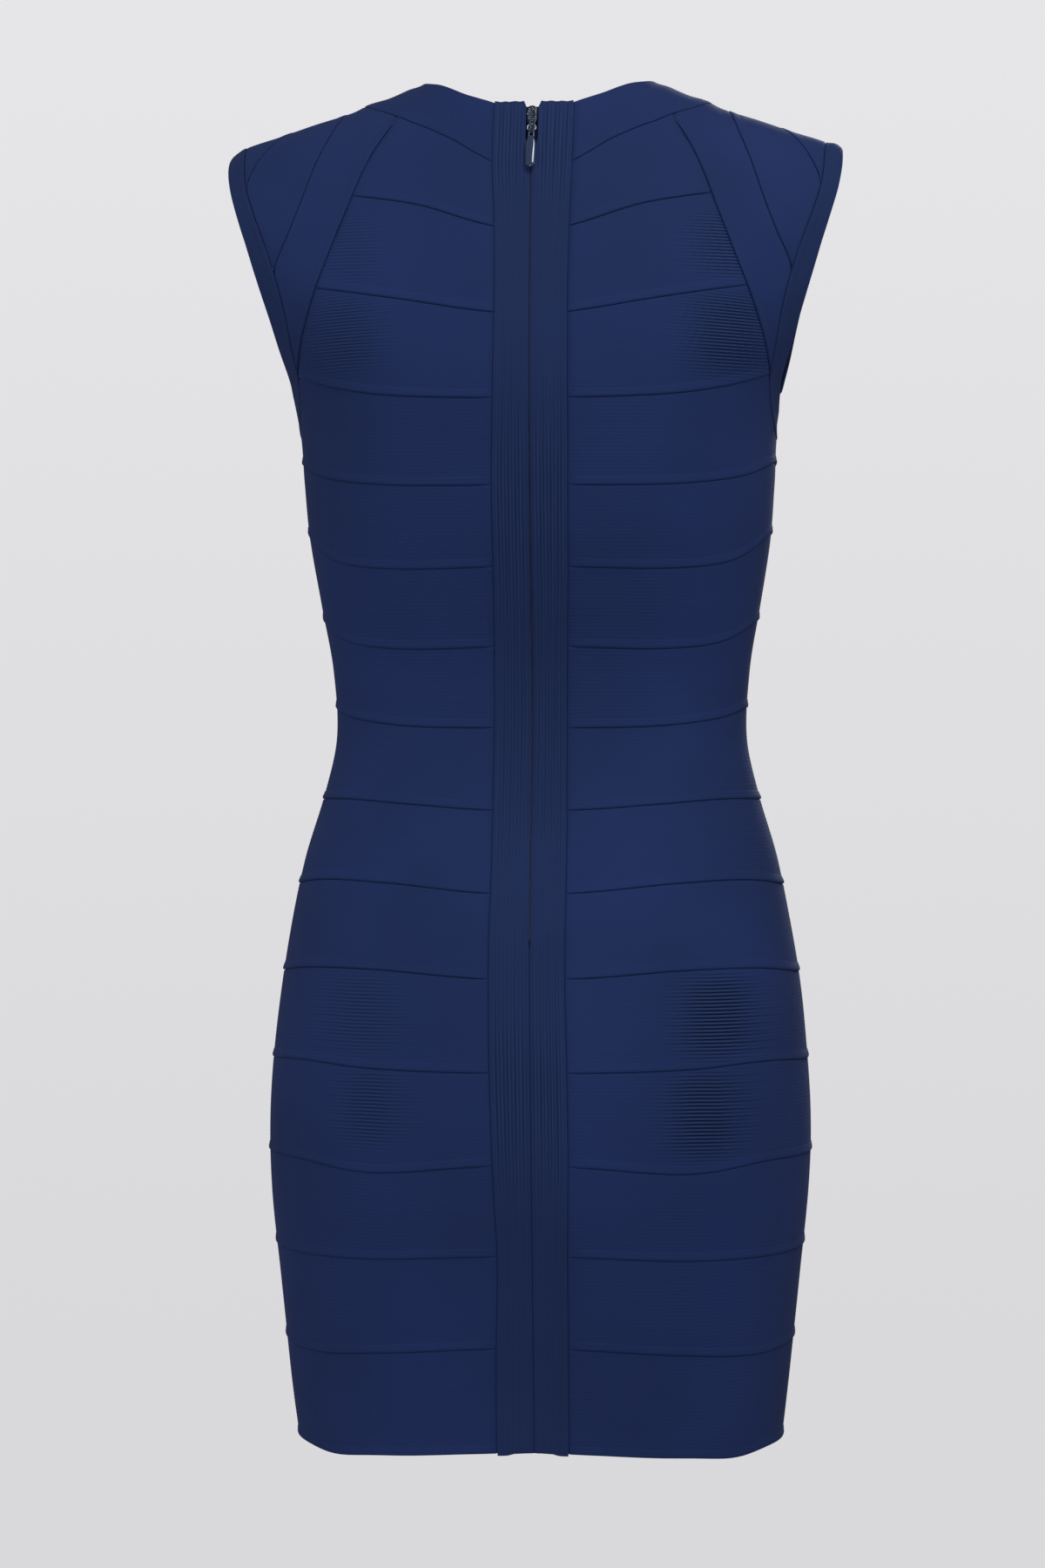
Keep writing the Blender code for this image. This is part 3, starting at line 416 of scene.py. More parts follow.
knit = {
    "thickness": 0.0013,
    "rowStep": 0.00052,  # between grid rows, across the ribs
    "columnStep": 0.0060,  # between grid columns, along them
    "ribPitch": 0.00215,
    "ribDepth": 0.00004,  # where the ribs show least
    "openRibDepth": 0.00034,  # where the cloth is stretched open
    "foldLift": 0.0010,  # a folded edge stands this far proud
    "foldWidth": 0.0052,
    "foldCrest": 0.0012,  # it is highest this far from its edge
    "foldTurn": 0.0011,  # and turns down over this width
    "foldDrop": 0.30,  # by this share of its height
    "tuckWidth": 0.0011,  # beside a seam, the cloth beneath drops under the fold over this width
    "tuckReach": 0.0022,  # and runs on beneath it this far
    "lap": 0.0002,  # how far a folded edge passes the seam line
    "roundEdge": 0.0006,  # radius of an edge
    "fullRelief": 0.2,  # an edge of this relief or more laps or drops fully
    "rimSteps": (0.0, 0.00006, 0.0002, 0.0004, 0.0007, 0.0011),  # of the grid, in from a rim
    "seamSteps": (-0.0002, 0.0, 0.0003, 0.0006, 0.0010),  # and beside a seam line
    "bandFlat": 0.0010,  # ribs keep clear of a long edge by this and reach full depth
    "ribFade": 0.0020,  # over this
    "proudFade": 0.004,  # a fold's end sinks under a neighbour over this
    "sunkFade": 0.002,
    "foldShare": 2.2,  # a piece narrower than this many folds has smaller ones
    "unevenness": 0.00025,
    "innerRows": 12,  # the inner face keeps one row in this many
    "stretch": 1.10,  # worn this much longer than it was cut
}

# how far the finished dress sits off the form's middle, and how much wider or narrower it is worn
# there than the plain form: height, shift to +X, growth of each half
wornSet = (
    (-0.840, 0.0006, -0.0006),
    (-0.800, 0.0003, 0.0003),
    (-0.750, 0.0002, 0.0005),
    (-0.690, 0.0003, 0.0005),
    (-0.642, 0.0005, 0.0011),
    (-0.590, 0.0006, 0.0011),
    (-0.550, 0.0010, 0.0010),
    (-0.504, 0.0009, 0.0008),
    (-0.440, 0.0011, 0.0006),
    (-0.376, 0.0012, 0.0007),
    (-0.322, 0.0005, -0.0003),
    (-0.248, 0.0000, 0.0000),
    (-0.215, -0.0006, -0.0004),
    (-0.194, -0.0008, -0.0009),
    (-0.162, -0.0006, 0.0008),
    (-0.109, -0.0013, 0.0013),
    (-0.078, -0.0020, 0.0007),
    (-0.047, -0.0027, 0.0015),
    (0.010, -0.0027, 0.0012),
)

# and how far the centre bands' outer seams are pulled to +X there: height, left seam, right seam
bandSet = (
    (-0.800, 0.0010, -0.0026),
    (-0.766, 0.0013, -0.0026),
    (-0.735, 0.0024, -0.0026),
    (-0.704, 0.0028, -0.0025),
    (-0.674, 0.0013, -0.0021),
    (-0.643, 0.0002, -0.0018),
    (-0.597, -0.0008, -0.0021),
    (-0.551, -0.0011, -0.0028),
    (-0.520, -0.0010, -0.0026),
    (-0.489, 0.0000, -0.0021),
    (-0.459, 0.0003, -0.0019),
    (-0.428, 0.0002, -0.0025),
    (-0.367, 0.0006, -0.0025),
    (-0.305, 0.0009, -0.0011),
    (-0.250, 0.0007, -0.0005),
    (-0.213, 0.0015, -0.0001),
    (-0.182, 0.0021, -0.0002),
    (-0.152, 0.0026, -0.0003),
    (-0.121, 0.0026, -0.0002),
    (-0.090, 0.0016, 0.0005),
    (-0.060, 0.0000, 0.0012),
    (-0.030, 0.0000, 0.0016),
)

# how far from the zip the first set takes hold, on the body and over the shoulders, and how far
# from its seam the second reaches
setSpread = {"body": 0.06, "tips": 0.14, "band": 0.012}

# the patches where ribs stand open are ragged by this share, in waves of these turns a metre up
ragged = {"share": 0.35, "waves": (2900, 1270)}

# where the strips' ribs stand open on the back
ribPatches = (  # distance from the centre to +X, height, half width, half height, strength
    (0.116, -0.110, 0.024, 0.022, 0.60),
    (0.118, -0.163, 0.028, 0.026, 0.80),
    (-0.107, -0.112, 0.018, 0.022, 0.25),
    (-0.110, -0.163, 0.025, 0.025, 0.45),
    (0.109, -0.566, 0.024, 0.026, 1.00),
    (0.102, -0.623, 0.024, 0.028, 0.85),
    (-0.099, -0.565, 0.025, 0.024, 0.35),
    (-0.093, -0.619, 0.021, 0.024, 0.45),
)

print("stage: form and seams ready")


def arcLength(points, axis):
    # running length along a grid, starting at 0
    step = np.linalg.norm(np.diff(points, axis=axis), axis=-1)
    start = np.zeros_like(np.take(step, [0], axis=axis))
    return np.concatenate([start, np.cumsum(step, axis=axis)], axis=axis)


def stations(length, step, lead, tail):
    # shares of a length: even steps, closer at both rims and where a seam line runs, which is a
    # lead in from the start and a tail in from the end
    def near(reach):
        rim = list(knit["rimSteps"])
        return rim if reach < 0.001 else rim[:-1] + [reach + beside for beside in knit["seamSteps"]]

    start, end = near(lead), [length - far for far in near(tail)][::-1]
    count = max(2, int(round((end[0] - start[-1]) / step)))
    even = np.linspace(start[-1], end[0], count + 1)[1:-1]
    return np.concatenate([start, even, end]) / length


def edgeOffset(relief, distance, narrow):
    # height off the form beside an edge. Above 0 it lies over its neighbour: a flat fold that
    # rises towards the edge and turns down at it. Below 0 it drops beneath its neighbour.
    fold = knit["foldWidth"] * narrow
    rise = np.clip((fold - distance) / (fold - knit["foldCrest"] * narrow), 0.0, 1.0)
    turned = ease(1 - distance / (knit["foldTurn"] * narrow))
    proud = 0.8 * rise + 0.2 * ease(rise * 3) - knit["foldDrop"] * turned
    drop = knit["thickness"] + 0.0001 - 0.7 * knit["foldLift"] * np.abs(relief)
    fall = ease((knit["tuckWidth"] - distance) / (knit["tuckWidth"] + 0.0002))
    under = np.clip(-relief / knit["fullRelief"], 0.0, 1.0)
    return np.maximum(relief, 0.0) * knit["foldLift"] * proud - under * drop * fall


def hills(p, seed, size):
    # gentle unevenness: three crossing sine waves of about a size, between -1 and 1
    rng = np.random.default_rng(seed)
    total = np.zeros(p.shape[:-1])
    for _ in range(3):
        direction = rng.normal(size=3)
        direction /= np.linalg.norm(direction)
        total += np.sin(p @ direction * (2 * math.pi / size / rng.uniform(0.7, 1.3)) + rng.uniform(0, 6.28))
    return total / 3


def ribOpening(p):
    # 0 to 1: how far the ribs stand open, the strongest of the patches there, each ragged at its
    # ends by sin(z) sin(z), and nothing on the front
    opening = np.zeros(p.shape[:-1])
    fine, coarse = ragged["waves"]
    reach = 1 + ragged["share"] * np.sin(p[..., 2] * fine) * np.sin(p[..., 2] * coarse + 1)
    for x, z, width, height, strength in ribPatches:
        far = np.hypot((p[..., 0] - x) / (width * reach), ((p[..., 2] - z) / height) ** 2)
        opening = np.maximum(opening, strength * ease((1.40 - far) / 1.30))
    return opening * ease(-p[..., 1] / 0.02)


def asWorn(p):
    # x moves by (shift + growth) (1 - exp(-(x / spread)^2)), full at the sides and 0 at the zip,
    # over the shoulders to the fourth power and so only near their tips, and beside a centre
    # band's seam by pull exp(-(distance / spread)^2)
    x, z = p[..., 0], p[..., 2]
    high = ease((z + 0.20) / 0.05)
    spread = setSpread["body"] + (setSpread["tips"] - setSpread["body"]) * high
    share = 1 - np.exp(-((np.abs(x) / spread) ** (2 + 2 * high)))
    moved = x + share * (reading(wornSet, z, 1) + np.sign(x) * reading(wornSet, z, 2))
    for column, hand in ((1, left), (2, right)):
        away = x - hand * seams["bandHalf"] - zipLine(z)
        near = np.exp(-((away / setSpread["band"]) ** 2)) * (p[..., 1] < 0)
        moved = moved + reading(bandSet, z, column) * near
    return np.stack([moved, p[..., 1], z], -1)


def reachOf(relief):
    # how far an edge runs past its seam line: beneath its neighbour, or over it
    share = np.clip(np.abs(relief) / knit["fullRelief"], 0, 1)
    return np.where(relief < 0, knit["tuckReach"], knit["lap"]) * share


def layOut(surface, edges, ring, rowStep, columnStep):
    # A piece's grid, which runs past each seam line by that edge's reach. U and V are the shares of
    # the surface, far the distances from the seam lines and rim the distance from the piece's rim.
    shareU, shareV = np.linspace(0, 1, 33), np.linspace(0, 1, 9)
    sample = surface(shareU[None, :], shareV[:, None])
    across, along = arcLength(sample, 0)[-1], arcLength(sample, 1)[:, -1]

    def reliefOf(side, at):
        kind = edges.get(side, 0.0)
        return kind(at) if callable(kind) else np.full_like(at, kind)

    lead = {side: float(reachOf(reliefOf(side, np.array([0.5])))[0])
            for side in ("top", "bottom", "start", "end")}
    v = stations(across.max() + lead["top"] + lead["bottom"], rowStep, lead["top"], lead["bottom"])
    if ring:
        u = np.linspace(0, 1, int(along.max() / columnStep))
    else:
        u = stations(along.max() + lead["start"] + lead["end"], columnStep, lead["start"], lead["end"])
    u, v = u[None, :], v[:, None]
    width, length = np.interp(u, shareU, across), np.interp(v, shareV, along)
    relief = {"top": reliefOf("top", u), "bottom": reliefOf("bottom", u),
              "start": reliefOf("start", v), "end": reliefOf("end", v)}
    reach = {side: reachOf(value) for side, value in relief.items()}
    # at its ends an edge stops short of running on
    corner = 1.0 if ring else ease((np.minimum(u, 1 - u) * length.mean() - 0.0008) / 0.003)
    top = np.minimum(reach["top"] * corner, 0.4 * width)
    bottom = np.minimum(reach["bottom"] * corner, 0.4 * width)
    high = width + top + bottom
    V = (v * high - top) / width
    run = length + reach["start"] + reach["end"]
    U = np.broadcast_to(u if ring else (u * run - reach["start"]) / length, V.shape)
    rim = np.minimum(v, 1 - v) * high
    if not ring:
        rim = np.minimum(rim, np.minimum(u, 1 - u) * run + 0.00002)
    far = {"top": V * width, "bottom": (1 - V) * width, "start": U * length, "end": (1 - U) * length}
    corners = np.linalg.norm(np.cross(sample[1:, 1:] - sample[:-1, :-1],
                                      sample[1:, :-1] - sample[:-1, 1:]), axis=-1)
    return {"U": U, "V": V, "width": width, "relief": relief, "far": far, "rim": rim,
            "worn": (float(along.max()), float(across.max()), float(corners.sum()) / 2)}


def foldOffset(piece, ring):
    # height off the form from all edges together: what the long edges give fades out beneath an end
    relief, far = piece["relief"], piece["far"]
    narrow = np.clip(piece["width"] / (knit["foldShare"] * knit["foldWidth"]), 0.15, 1.0)
    offset = edgeOffset(relief["top"], far["top"], narrow) \
        + edgeOffset(relief["bottom"], far["bottom"], narrow)
    for side in () if ring else ("start", "end"):
        below = np.clip(-relief[side] / knit["fullRelief"], 0, 1)
        proud = np.maximum(offset, 0) * (1 - below * ease(1 - far[side] / knit["proudFade"]))
        sunk = np.minimum(offset, 0) * (1 - below * ease(1 - far[side] / knit["sunkFade"]))
        offset = proud + sunk + edgeOffset(relief[side], far[side], 1.0)
    return offset


def plainly(p):
    # ribs nowhere open
    return np.zeros(p.shape[:-1])


def cloth(node, surface, edges, spec, name=None, ring=False, rowStep=None, columnStep=None,
          lift=None, ribs=None, level=False, thickness=None):
    # A closed wall of cloth on a surface (u along, v across, both 0 to 1). Its outer face is
    # form + normal (edges + lift + hills + ribs), its inner face the same without ribs, one
    # thickness in, and k = sqrt(1 - (1 - distance / radius)^2) brings both together in a round at
    # the rim. edges gives each edge's relief: above 0 over its neighbour, below 0 under it, 0 free.
    # Ribs run along the bottom edge, or level where level is set.
    thickness = thickness or knit["thickness"]
    ribs = ribs or (ribOpening if level else plainly)
    piece = layOut(surface, edges, ring, rowStep or knit["rowStep"], columnStep or knit["columnStep"])
    U, V, far = piece["U"], piece["V"], piece["far"]
    P = surface(U, V)
    N = outward(P)
    offset = foldOffset(piece, ring)
    if lift is not None:
        offset = offset + lift(U, V, P)
    offset = offset + knit["unevenness"] * hills(P, 7, 0.09)
    fade = ease((np.minimum(far["top"], far["bottom"]) - knit["bandFlat"]) / knit["ribFade"])
    opening = fade * ribs(P)
    depth = fade * knit["ribDepth"] + (knit["openRibDepth"] - knit["ribDepth"]) * opening
    upward = arcLength(P[::-1], 0)[::-1]
    if level:
        upward = far["bottom"] + surface(U, np.ones_like(V))[..., 2] + 0.0005 * hills(P, 3, 0.06)
    rib = depth * np.sin(2 * math.pi * upward / knit["ribPitch"])
    k = np.sqrt(np.clip(1 - (1 - np.clip(piece["rim"] / knit["roundEdge"], 0, 1)) ** 2, 0.0, 1.0))
    outer = P + N * (offset + rib + thickness / 2 * (k - 1))[..., None]
    inner = P + N * (offset - thickness / 2 * (k + 1))[..., None]
    rows, edge = len(V), 9
    keep = np.unique(np.concatenate([np.arange(1, edge), np.arange(edge, rows - edge, knit["innerRows"]),
                                     np.arange(rows - edge, rows - 1)]))[::-1]
    flat = np.stack(np.broadcast_arrays(far["start"], upward), -1)
    made = shellMesh(name or f"knit_{node}", asWorn(np.concatenate([outer, inner[keep]])),
                     np.concatenate([flat, flat[keep]]), ring,
                     np.concatenate([opening, 0 * opening[keep]]))
    made.data.materials.append(clothMaterials[spec["slot"]])
    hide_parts(node)
    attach(made, "dress")
    length, width, area = piece["worn"]
    return made


def pointValues(mesh, name, values):
    layer = mesh.attributes.new(name, "FLOAT", "POINT")
    layer.data.foreach_set("value", np.asarray(values, np.float32).ravel())


def shellMesh(name, grid, flatPlace, ring, opening=None):
    # closed mesh from a grid whose rows loop round the wall; its columns loop too on a ring
    rows, columns = grid.shape[:2]
    if ring:
        columns -= 1
        grid = grid[:, :-1]
    index = np.arange(rows * columns).reshape(rows, columns)
    r = np.arange(rows)[:, None]
    c = np.arange(columns if ring else columns - 1)[None, :]
    below, beside = (r + 1) % rows, (c + 1) % columns
    quads = np.stack([index[r, c], index[r, beside], index[below, beside], index[below, c]], -1)
    quads = quads.reshape(-1, 4)
    # the same corners' places on the flat cloth, with no jump where a ring closes
    flat = np.stack([flatPlace[r, c], flatPlace[r, c + 1],
                     flatPlace[below, c + 1], flatPlace[below, c]], -2)
    flat = flat.reshape(-1, 4, 2)
    points = grid.reshape(-1, 3)
    a, b, d, e = (points[quads[:, corner]] for corner in range(4))
    volume = (a * np.cross(b, d)).sum() + (a * np.cross(d, e)).sum()
    caps = [] if ring else [index[::-1, 0], index[:, -1]]
    if volume < 0:
        quads, flat = quads[:, ::-1], flat[:, ::-1]
        caps = [cap[::-1] for cap in caps]
    loops = np.concatenate([quads.ravel(), *caps]).astype(np.int32)
    counts = np.array([4] * len(quads) + [len(cap) for cap in caps])
    starts = np.concatenate([[0], np.cumsum(counts)[:-1]]).astype(np.int32)
    mesh = bpy.data.meshes.new(name)
    mesh.vertices.add(len(points))
    mesh.vertices.foreach_set("co", points.astype(np.float32).ravel())
    mesh.loops.add(len(loops))
    mesh.loops.foreach_set("vertex_index", loops)
    mesh.polygons.add(len(counts))
    mesh.polygons.foreach_set("loop_start", starts)
    layer = mesh.uv_layers.new(name="cloth")
    places = flatPlace[:, :columns].reshape(-1, 2)
    flat = np.concatenate([flat.reshape(-1, 2), *(places[cap] for cap in caps)])
    layer.uv.foreach_set("vector", flat.astype(np.float32).ravel())
    if opening is not None:
        pointValues(mesh, "open", opening[:, :columns])
    mesh.update(calc_edges=True)
    mesh.validate()
    mesh.shade_smooth()
    return placed(name, mesh)


# Materials

navyKnit = {
    "name": "navy knit",
    "slot": "navy_knit",
    "light": (0.0165, 0.0340, 0.1300),
    "deep": (0.0140, 0.0295, 0.1080),
    "ridge": (0.0320, 0.0660, 0.1700),  # painted highlight on a rib that stands open, and painted shade between ribs
    "groove": (0.0020, 0.0050, 0.0220),
    "stitch": 0.00090,
    "stitchDepth": 0.00006,
    "roughness": 0.78,
    "sheen": 0.02,
}
bandKnit = {
    "name": "band knit",
    "slot": "band_knit",
    "light": (0.0165, 0.0330, 0.1150),
    "deep": (0.0135, 0.0280, 0.0950),
    # painted highlight on a rib that stands open, and painted shade between ribs
    "ridge": (0.0300, 0.0600, 0.1600),
    "groove": (0.0070, 0.0150, 0.0560),
    "stitch": 0.00090,
    "stitchDepth": 0.00006,
    "roughness": 0.80,
    "sheen": 0.02,
}
tapeWeave = {
    "name": "zip tape weave",
    "slot": "zip_tape",
    "light": (0.0050, 0.0090, 0.0300),
    "deep": (0.0035, 0.0065, 0.0220),
    # painted highlight on the ribs and painted shade between them
    "ridge": (0.0060, 0.0110, 0.0360),
    "groove": (0.0030, 0.0055, 0.0200),
    "stitch": 0.00060,
    "stitchDepth": 0.00004,
    "roughness": 0.85,
    "sheen": 0.05,
}
clothLook = {  # what all three have in common
    "toneSize": 9.0,  # of the broad noise between light and deep
    "toneSpan": (0.35, 0.65),
    "paintedRibShadingAlways": 0.03,  # how much of the ribs' painted highlight and shade shows where they are closed
    "paintedShadeLevel": 0.25,  # level of a rib's wave below which it takes the painted shade
    "across": 1.15,  # stitches across for one along
    "yarnSize": 1500.0,
    "strength": 0.6,
    "shine": 0.12,
    "sheenRoughness": 0.45,
    "sheenTint": (0.55, 0.62, 0.95),
}
zipEnamel = {  # colour, roughness, index of refraction and shine of each part; the body is the same enamel with its colour painted darker as shade
    "slot": "zip_enamel",
    "tint": (0.78, 0.90, 1.0),
    "tab": ((0.0200, 0.0330, 0.0820), 0.15, 1.5, 1.0),
    # the slider body: the tab's enamel, its colour darker as painted shade
    "body": ((0.0030, 0.0060, 0.0220), 0.35, 1.5, 0.35),
    "wreath": ((0.0120, 0.0200, 0.0560), 0.13, 2.0, 1.0),
}


class Nodes:
    # short way to write a material's nodes: each call adds one and links what it is given

    def __init__(self, name):
        self.material = bpy.data.materials.new(name)
        self.material.use_nodes = True
        self.tree = self.material.node_tree
        self.surface = self.tree.nodes["Principled BSDF"]

    def add(self, kind, settings=None, **sockets):
        node = self.tree.nodes.new(kind)
        for key, value in (settings or {}).items():
            setattr(node, key, value)
        self.fill(node, sockets)
        return node

    def fill(self, node, sockets):
        for key, value in sockets.items():
            socket = node.inputs[int(key[1:])] if key[0] == "i" and key[1:].isdigit() \
                else node.inputs[key.replace("_", " ")]
            if isinstance(value, bpy.types.NodeSocket):
                self.tree.links.new(value, socket)
            else:
                socket.default_value = value

    def maths(self, operation, first, second=0.0):
        return self.add("ShaderNodeMath", {"operation": operation}, i0=first, i1=second).outputs[0]


def clothMaterial(spec):
    # colour: the light and deep tones mixed by a broad soft noise, then by rib = sin(across / pitch)
    # - 1/4, with a painted highlight on the ribs and painted shade between them, as far as they stand
    # open. Height: sin(across) sin(along) stitches on the flat cloth, with a finer noise for the yarn.
    look = clothLook
    nodes = Nodes(spec["name"])
    place = nodes.add("ShaderNodeTexCoord")
    broad = nodes.add("ShaderNodeTexNoise", None, Vector=place.outputs["Object"],
                      Scale=look["toneSize"], Detail=2.0)
    tone = nodes.add("ShaderNodeMapRange", None, Value=broad.outputs["Fac"],
                     i1=look["toneSpan"][0], i2=look["toneSpan"][1])
    colour = nodes.add("ShaderNodeMix", {"data_type": "RGBA"}, i0=tone.outputs[0],
                       i6=(*spec["deep"], 1), i7=(*spec["light"], 1))
    flat = nodes.add("ShaderNodeSeparateXYZ", None, Vector=place.outputs["UV"])
    opened = nodes.add("ShaderNodeAttribute", {"attribute_name": "open"})
    rib = nodes.maths("SINE", nodes.maths("MULTIPLY", flat.outputs[1], 2 * math.pi / knit["ribPitch"]))
    rib = nodes.maths("SUBTRACT", rib, look["paintedShadeLevel"])
    share = nodes.maths("MULTIPLY", rib, nodes.maths("ADD", opened.outputs["Fac"], look["paintedRibShadingAlways"]))
    # painted highlight on the ribs, where the rib wave is above its level
    colour = nodes.add("ShaderNodeMix", {"data_type": "RGBA"}, i0=share, i6=colour.outputs[2],
                       i7=(*spec["ridge"], 1))
    # painted shade between the ribs, where the rib wave is below its level
    colour = nodes.add("ShaderNodeMix", {"data_type": "RGBA"}, i0=nodes.maths("MULTIPLY", share, -1.0),
                       i6=colour.outputs[2], i7=(*spec["groove"], 1))
    turns = 2 * math.pi / spec["stitch"]
    along = nodes.maths("SINE", nodes.maths("MULTIPLY", flat.outputs[0], turns))
    across = nodes.maths("SINE", nodes.maths("MULTIPLY", flat.outputs[1], turns * look["across"]))
    yarn = nodes.add("ShaderNodeTexNoise", None, Vector=place.outputs["Object"],
                     Scale=look["yarnSize"], Detail=1.0)
    height = nodes.maths("ADD", nodes.maths("MULTIPLY", along, across), yarn.outputs["Fac"])
    bump = nodes.add("ShaderNodeBump", None, Height=height, Distance=spec["stitchDepth"],
                     Strength=look["strength"])
    nodes.fill(nodes.surface, {
        "Base Color": colour.outputs[2],
        "Roughness": spec["roughness"],
        "Specular IOR Level": look["shine"],
        "Sheen Weight": spec["sheen"],
        "Sheen Roughness": look["sheenRoughness"],
        "Sheen Tint": (*look["sheenTint"], 1),
        "Normal": bump.outputs[0],
    })
    return nodes.material


def enamelMaterial(name, spec, part):
    # plain glossy coat, the same all over a part
    colour, roughness, ior, shine = spec[part]
    nodes = Nodes(name)
    nodes.fill(nodes.surface, {
        "Base Color": (*colour, 1),
        "Roughness": roughness,
        "IOR": ior,
        "Specular IOR Level": shine,
        "Specular Tint": (*spec["tint"], 1),
    })
    return nodes.material


clothMaterials = {spec["slot"]: clothMaterial(spec) for spec in (navyKnit, bandKnit, tapeWeave)}
enamel = enamelMaterial("zip enamel", zipEnamel, "tab")
# the slider body's enamel, darker as painted shade
shadedBodyEnamel = enamelMaterial("zip enamel, body", zipEnamel, "body")
wreathEnamel = enamelMaterial("zip enamel, wreath", zipEnamel, "wreath")


# Level strips

sideFold = {"plain": 0.50, "more": 0.45, "at": 0.25, "spread": 0.06}  # the last two as shares round


def sideRelief(u):
    # folds stand out more at the sides than before and behind: plain + more exp(-(away / spread)^2)
    away = np.minimum(u, 1 - u) - sideFold["at"]
    return sideFold["plain"] + sideFold["more"] * np.exp(-((away / sideFold["spread"]) ** 2))


def levelSurface(number):
    # from the right centre band round the front to the left one, between two level seams. Where it
    # starts depends on the height, and the other way round, so both are worked out three times.
    def surface(U, V):
        U, V = np.broadcast_arrays(U, V)
        z = np.full(U.shape, seams["level"][number][0])
        for _ in range(3):
            start, end = bandEdgeAngle(z, right), 360 - bandEdgeAngle(z, left)
            turn = start + (end - start) * U
            around = np.where(turn > 180, 360 - turn, turn)
            top = firstTop(around) if number == 0 else levelHeight(number - 1, around)
            z = (1 - V) * top + V * levelHeight(number, around)
        return roundBody(around, z, np.where(turn > 180, left, right))
    return surface


for number in range(len(seams["level"])):
    cloth(f"strip_{number + 4:02d}", levelSurface(number),
          {"top": lambda u: -sideRelief(u), "bottom": sideRelief, "start": -0.5, "end": -0.5},
          navyKnit, level=True)
print("stage: level strips")


# Upper back and front

def patch(top, bottom, start, end, side, mirrored=False):
    # surface between four border lines of (x, z): (1 - V) top + V bottom + (1 - U) start + U end,
    # less the corners in the same shares
    corners = [np.array(line(at)).reshape(2, 1, 1) for line in (top, bottom) for at in (0.0, 1.0)]

    def surface(U, V, hand=1):
        U, V = np.broadcast_arrays(U, V)
        if mirrored:
            hand = np.where(U < 0.5, left, right)
            U = np.abs(2 * U - 1)
        a, b = np.array(top(U)), np.array(bottom(U))
        c, d = np.array(start(V)), np.array(end(V))
        x, z = ((1 - V) * a + V * b + (1 - U) * c + U * d
                - (1 - V) * ((1 - U) * corners[0] + U * corners[1])
                - V * ((1 - U) * corners[2] + U * corners[3]))
        return onForm(hand * x, z, side)
    return surface


def lineOver(seamOf, low, high, side):
    # border along a shoulder line between two leans
    def border(t):
        lean = low + (high - low) * np.asarray(t, float)
        x = seamOf(lean, side)
        return x, heightAt(x, lean)
    return border


def chestLine(low, high, side):
    # border along the seam beside the chest strips
    return lineOver(lambda lean, s: shoulderSeam(chestSeam, lean, s), low, high, side)


def straightAcross(x, above, below):
    # border at one distance from the centre
    def border(t):
        t = np.asarray(t, float)
        return x + 0 * t, above + (below - above) * t
    return border


def levelLine(rows, low, high):
    # border along a table's curve between two distances from the centre
    def border(t):
        x = low + (high - low) * np.asarray(t, float)
        return x, reading(rows, x)
    return border


lastLean = seams["shoulder"][-1][0]
bandHalf = seams["bandHalf"]


def chestBorder(begin, side):
    # border along the chest strip's top, from an angle round to its corner
    def border(t):
        folded = begin + (seams["corner"] - begin) * np.asarray(t, float)
        z = chestHeight(folded, side)
        return roundBody(folded if side == back else 180 - folded, z, right)[..., 0], z
    return border


def backBorders():
    # where the strips' seams meet the chest seam, and the four level lines between and beside them
    leans = [joiningLean(back), seamLean(seams["upperBack1"], back), seamLean(seams["upperBack2"], back),
             lastLean]
    lines = [lineOver(neckSeamX, leanAtBand(neckSeamX), leans[0], back)]
    for rows, lean in ((seams["upperBack1"], leans[1]), (seams["upperBack2"], leans[2])):
        lines.append(levelLine(rows, bandHalf, shoulderSeam(chestSeam, lean, back)))
    return leans, [*lines, chestBorder(bandEdgeAngle(seams["chestBack"][0][1], right), back)]


def handed(surface, hand):
    # the strip is mirrored for the left hand
    return lambda U, V: surface(U, V) * np.array([hand, 1, 1])


leans, lines = backBorders()
for number in range(3):
    above, below = lines[number], lines[number + 1]
    edge = straightAcross(bandHalf, above(0.0)[1], below(0.0)[1])
    shape = patch(above, below, edge, chestLine(leans[number], leans[number + 1], back), back)
    for word, hand in hands.items():
        cloth(f"back_strip_{number + 1}_{word}", handed(shape, hand),
              {"top": -0.6 if number else -0.2, "bottom": 0.6, "start": -0.5, "end": -0.8},
              navyKnit, level=True)


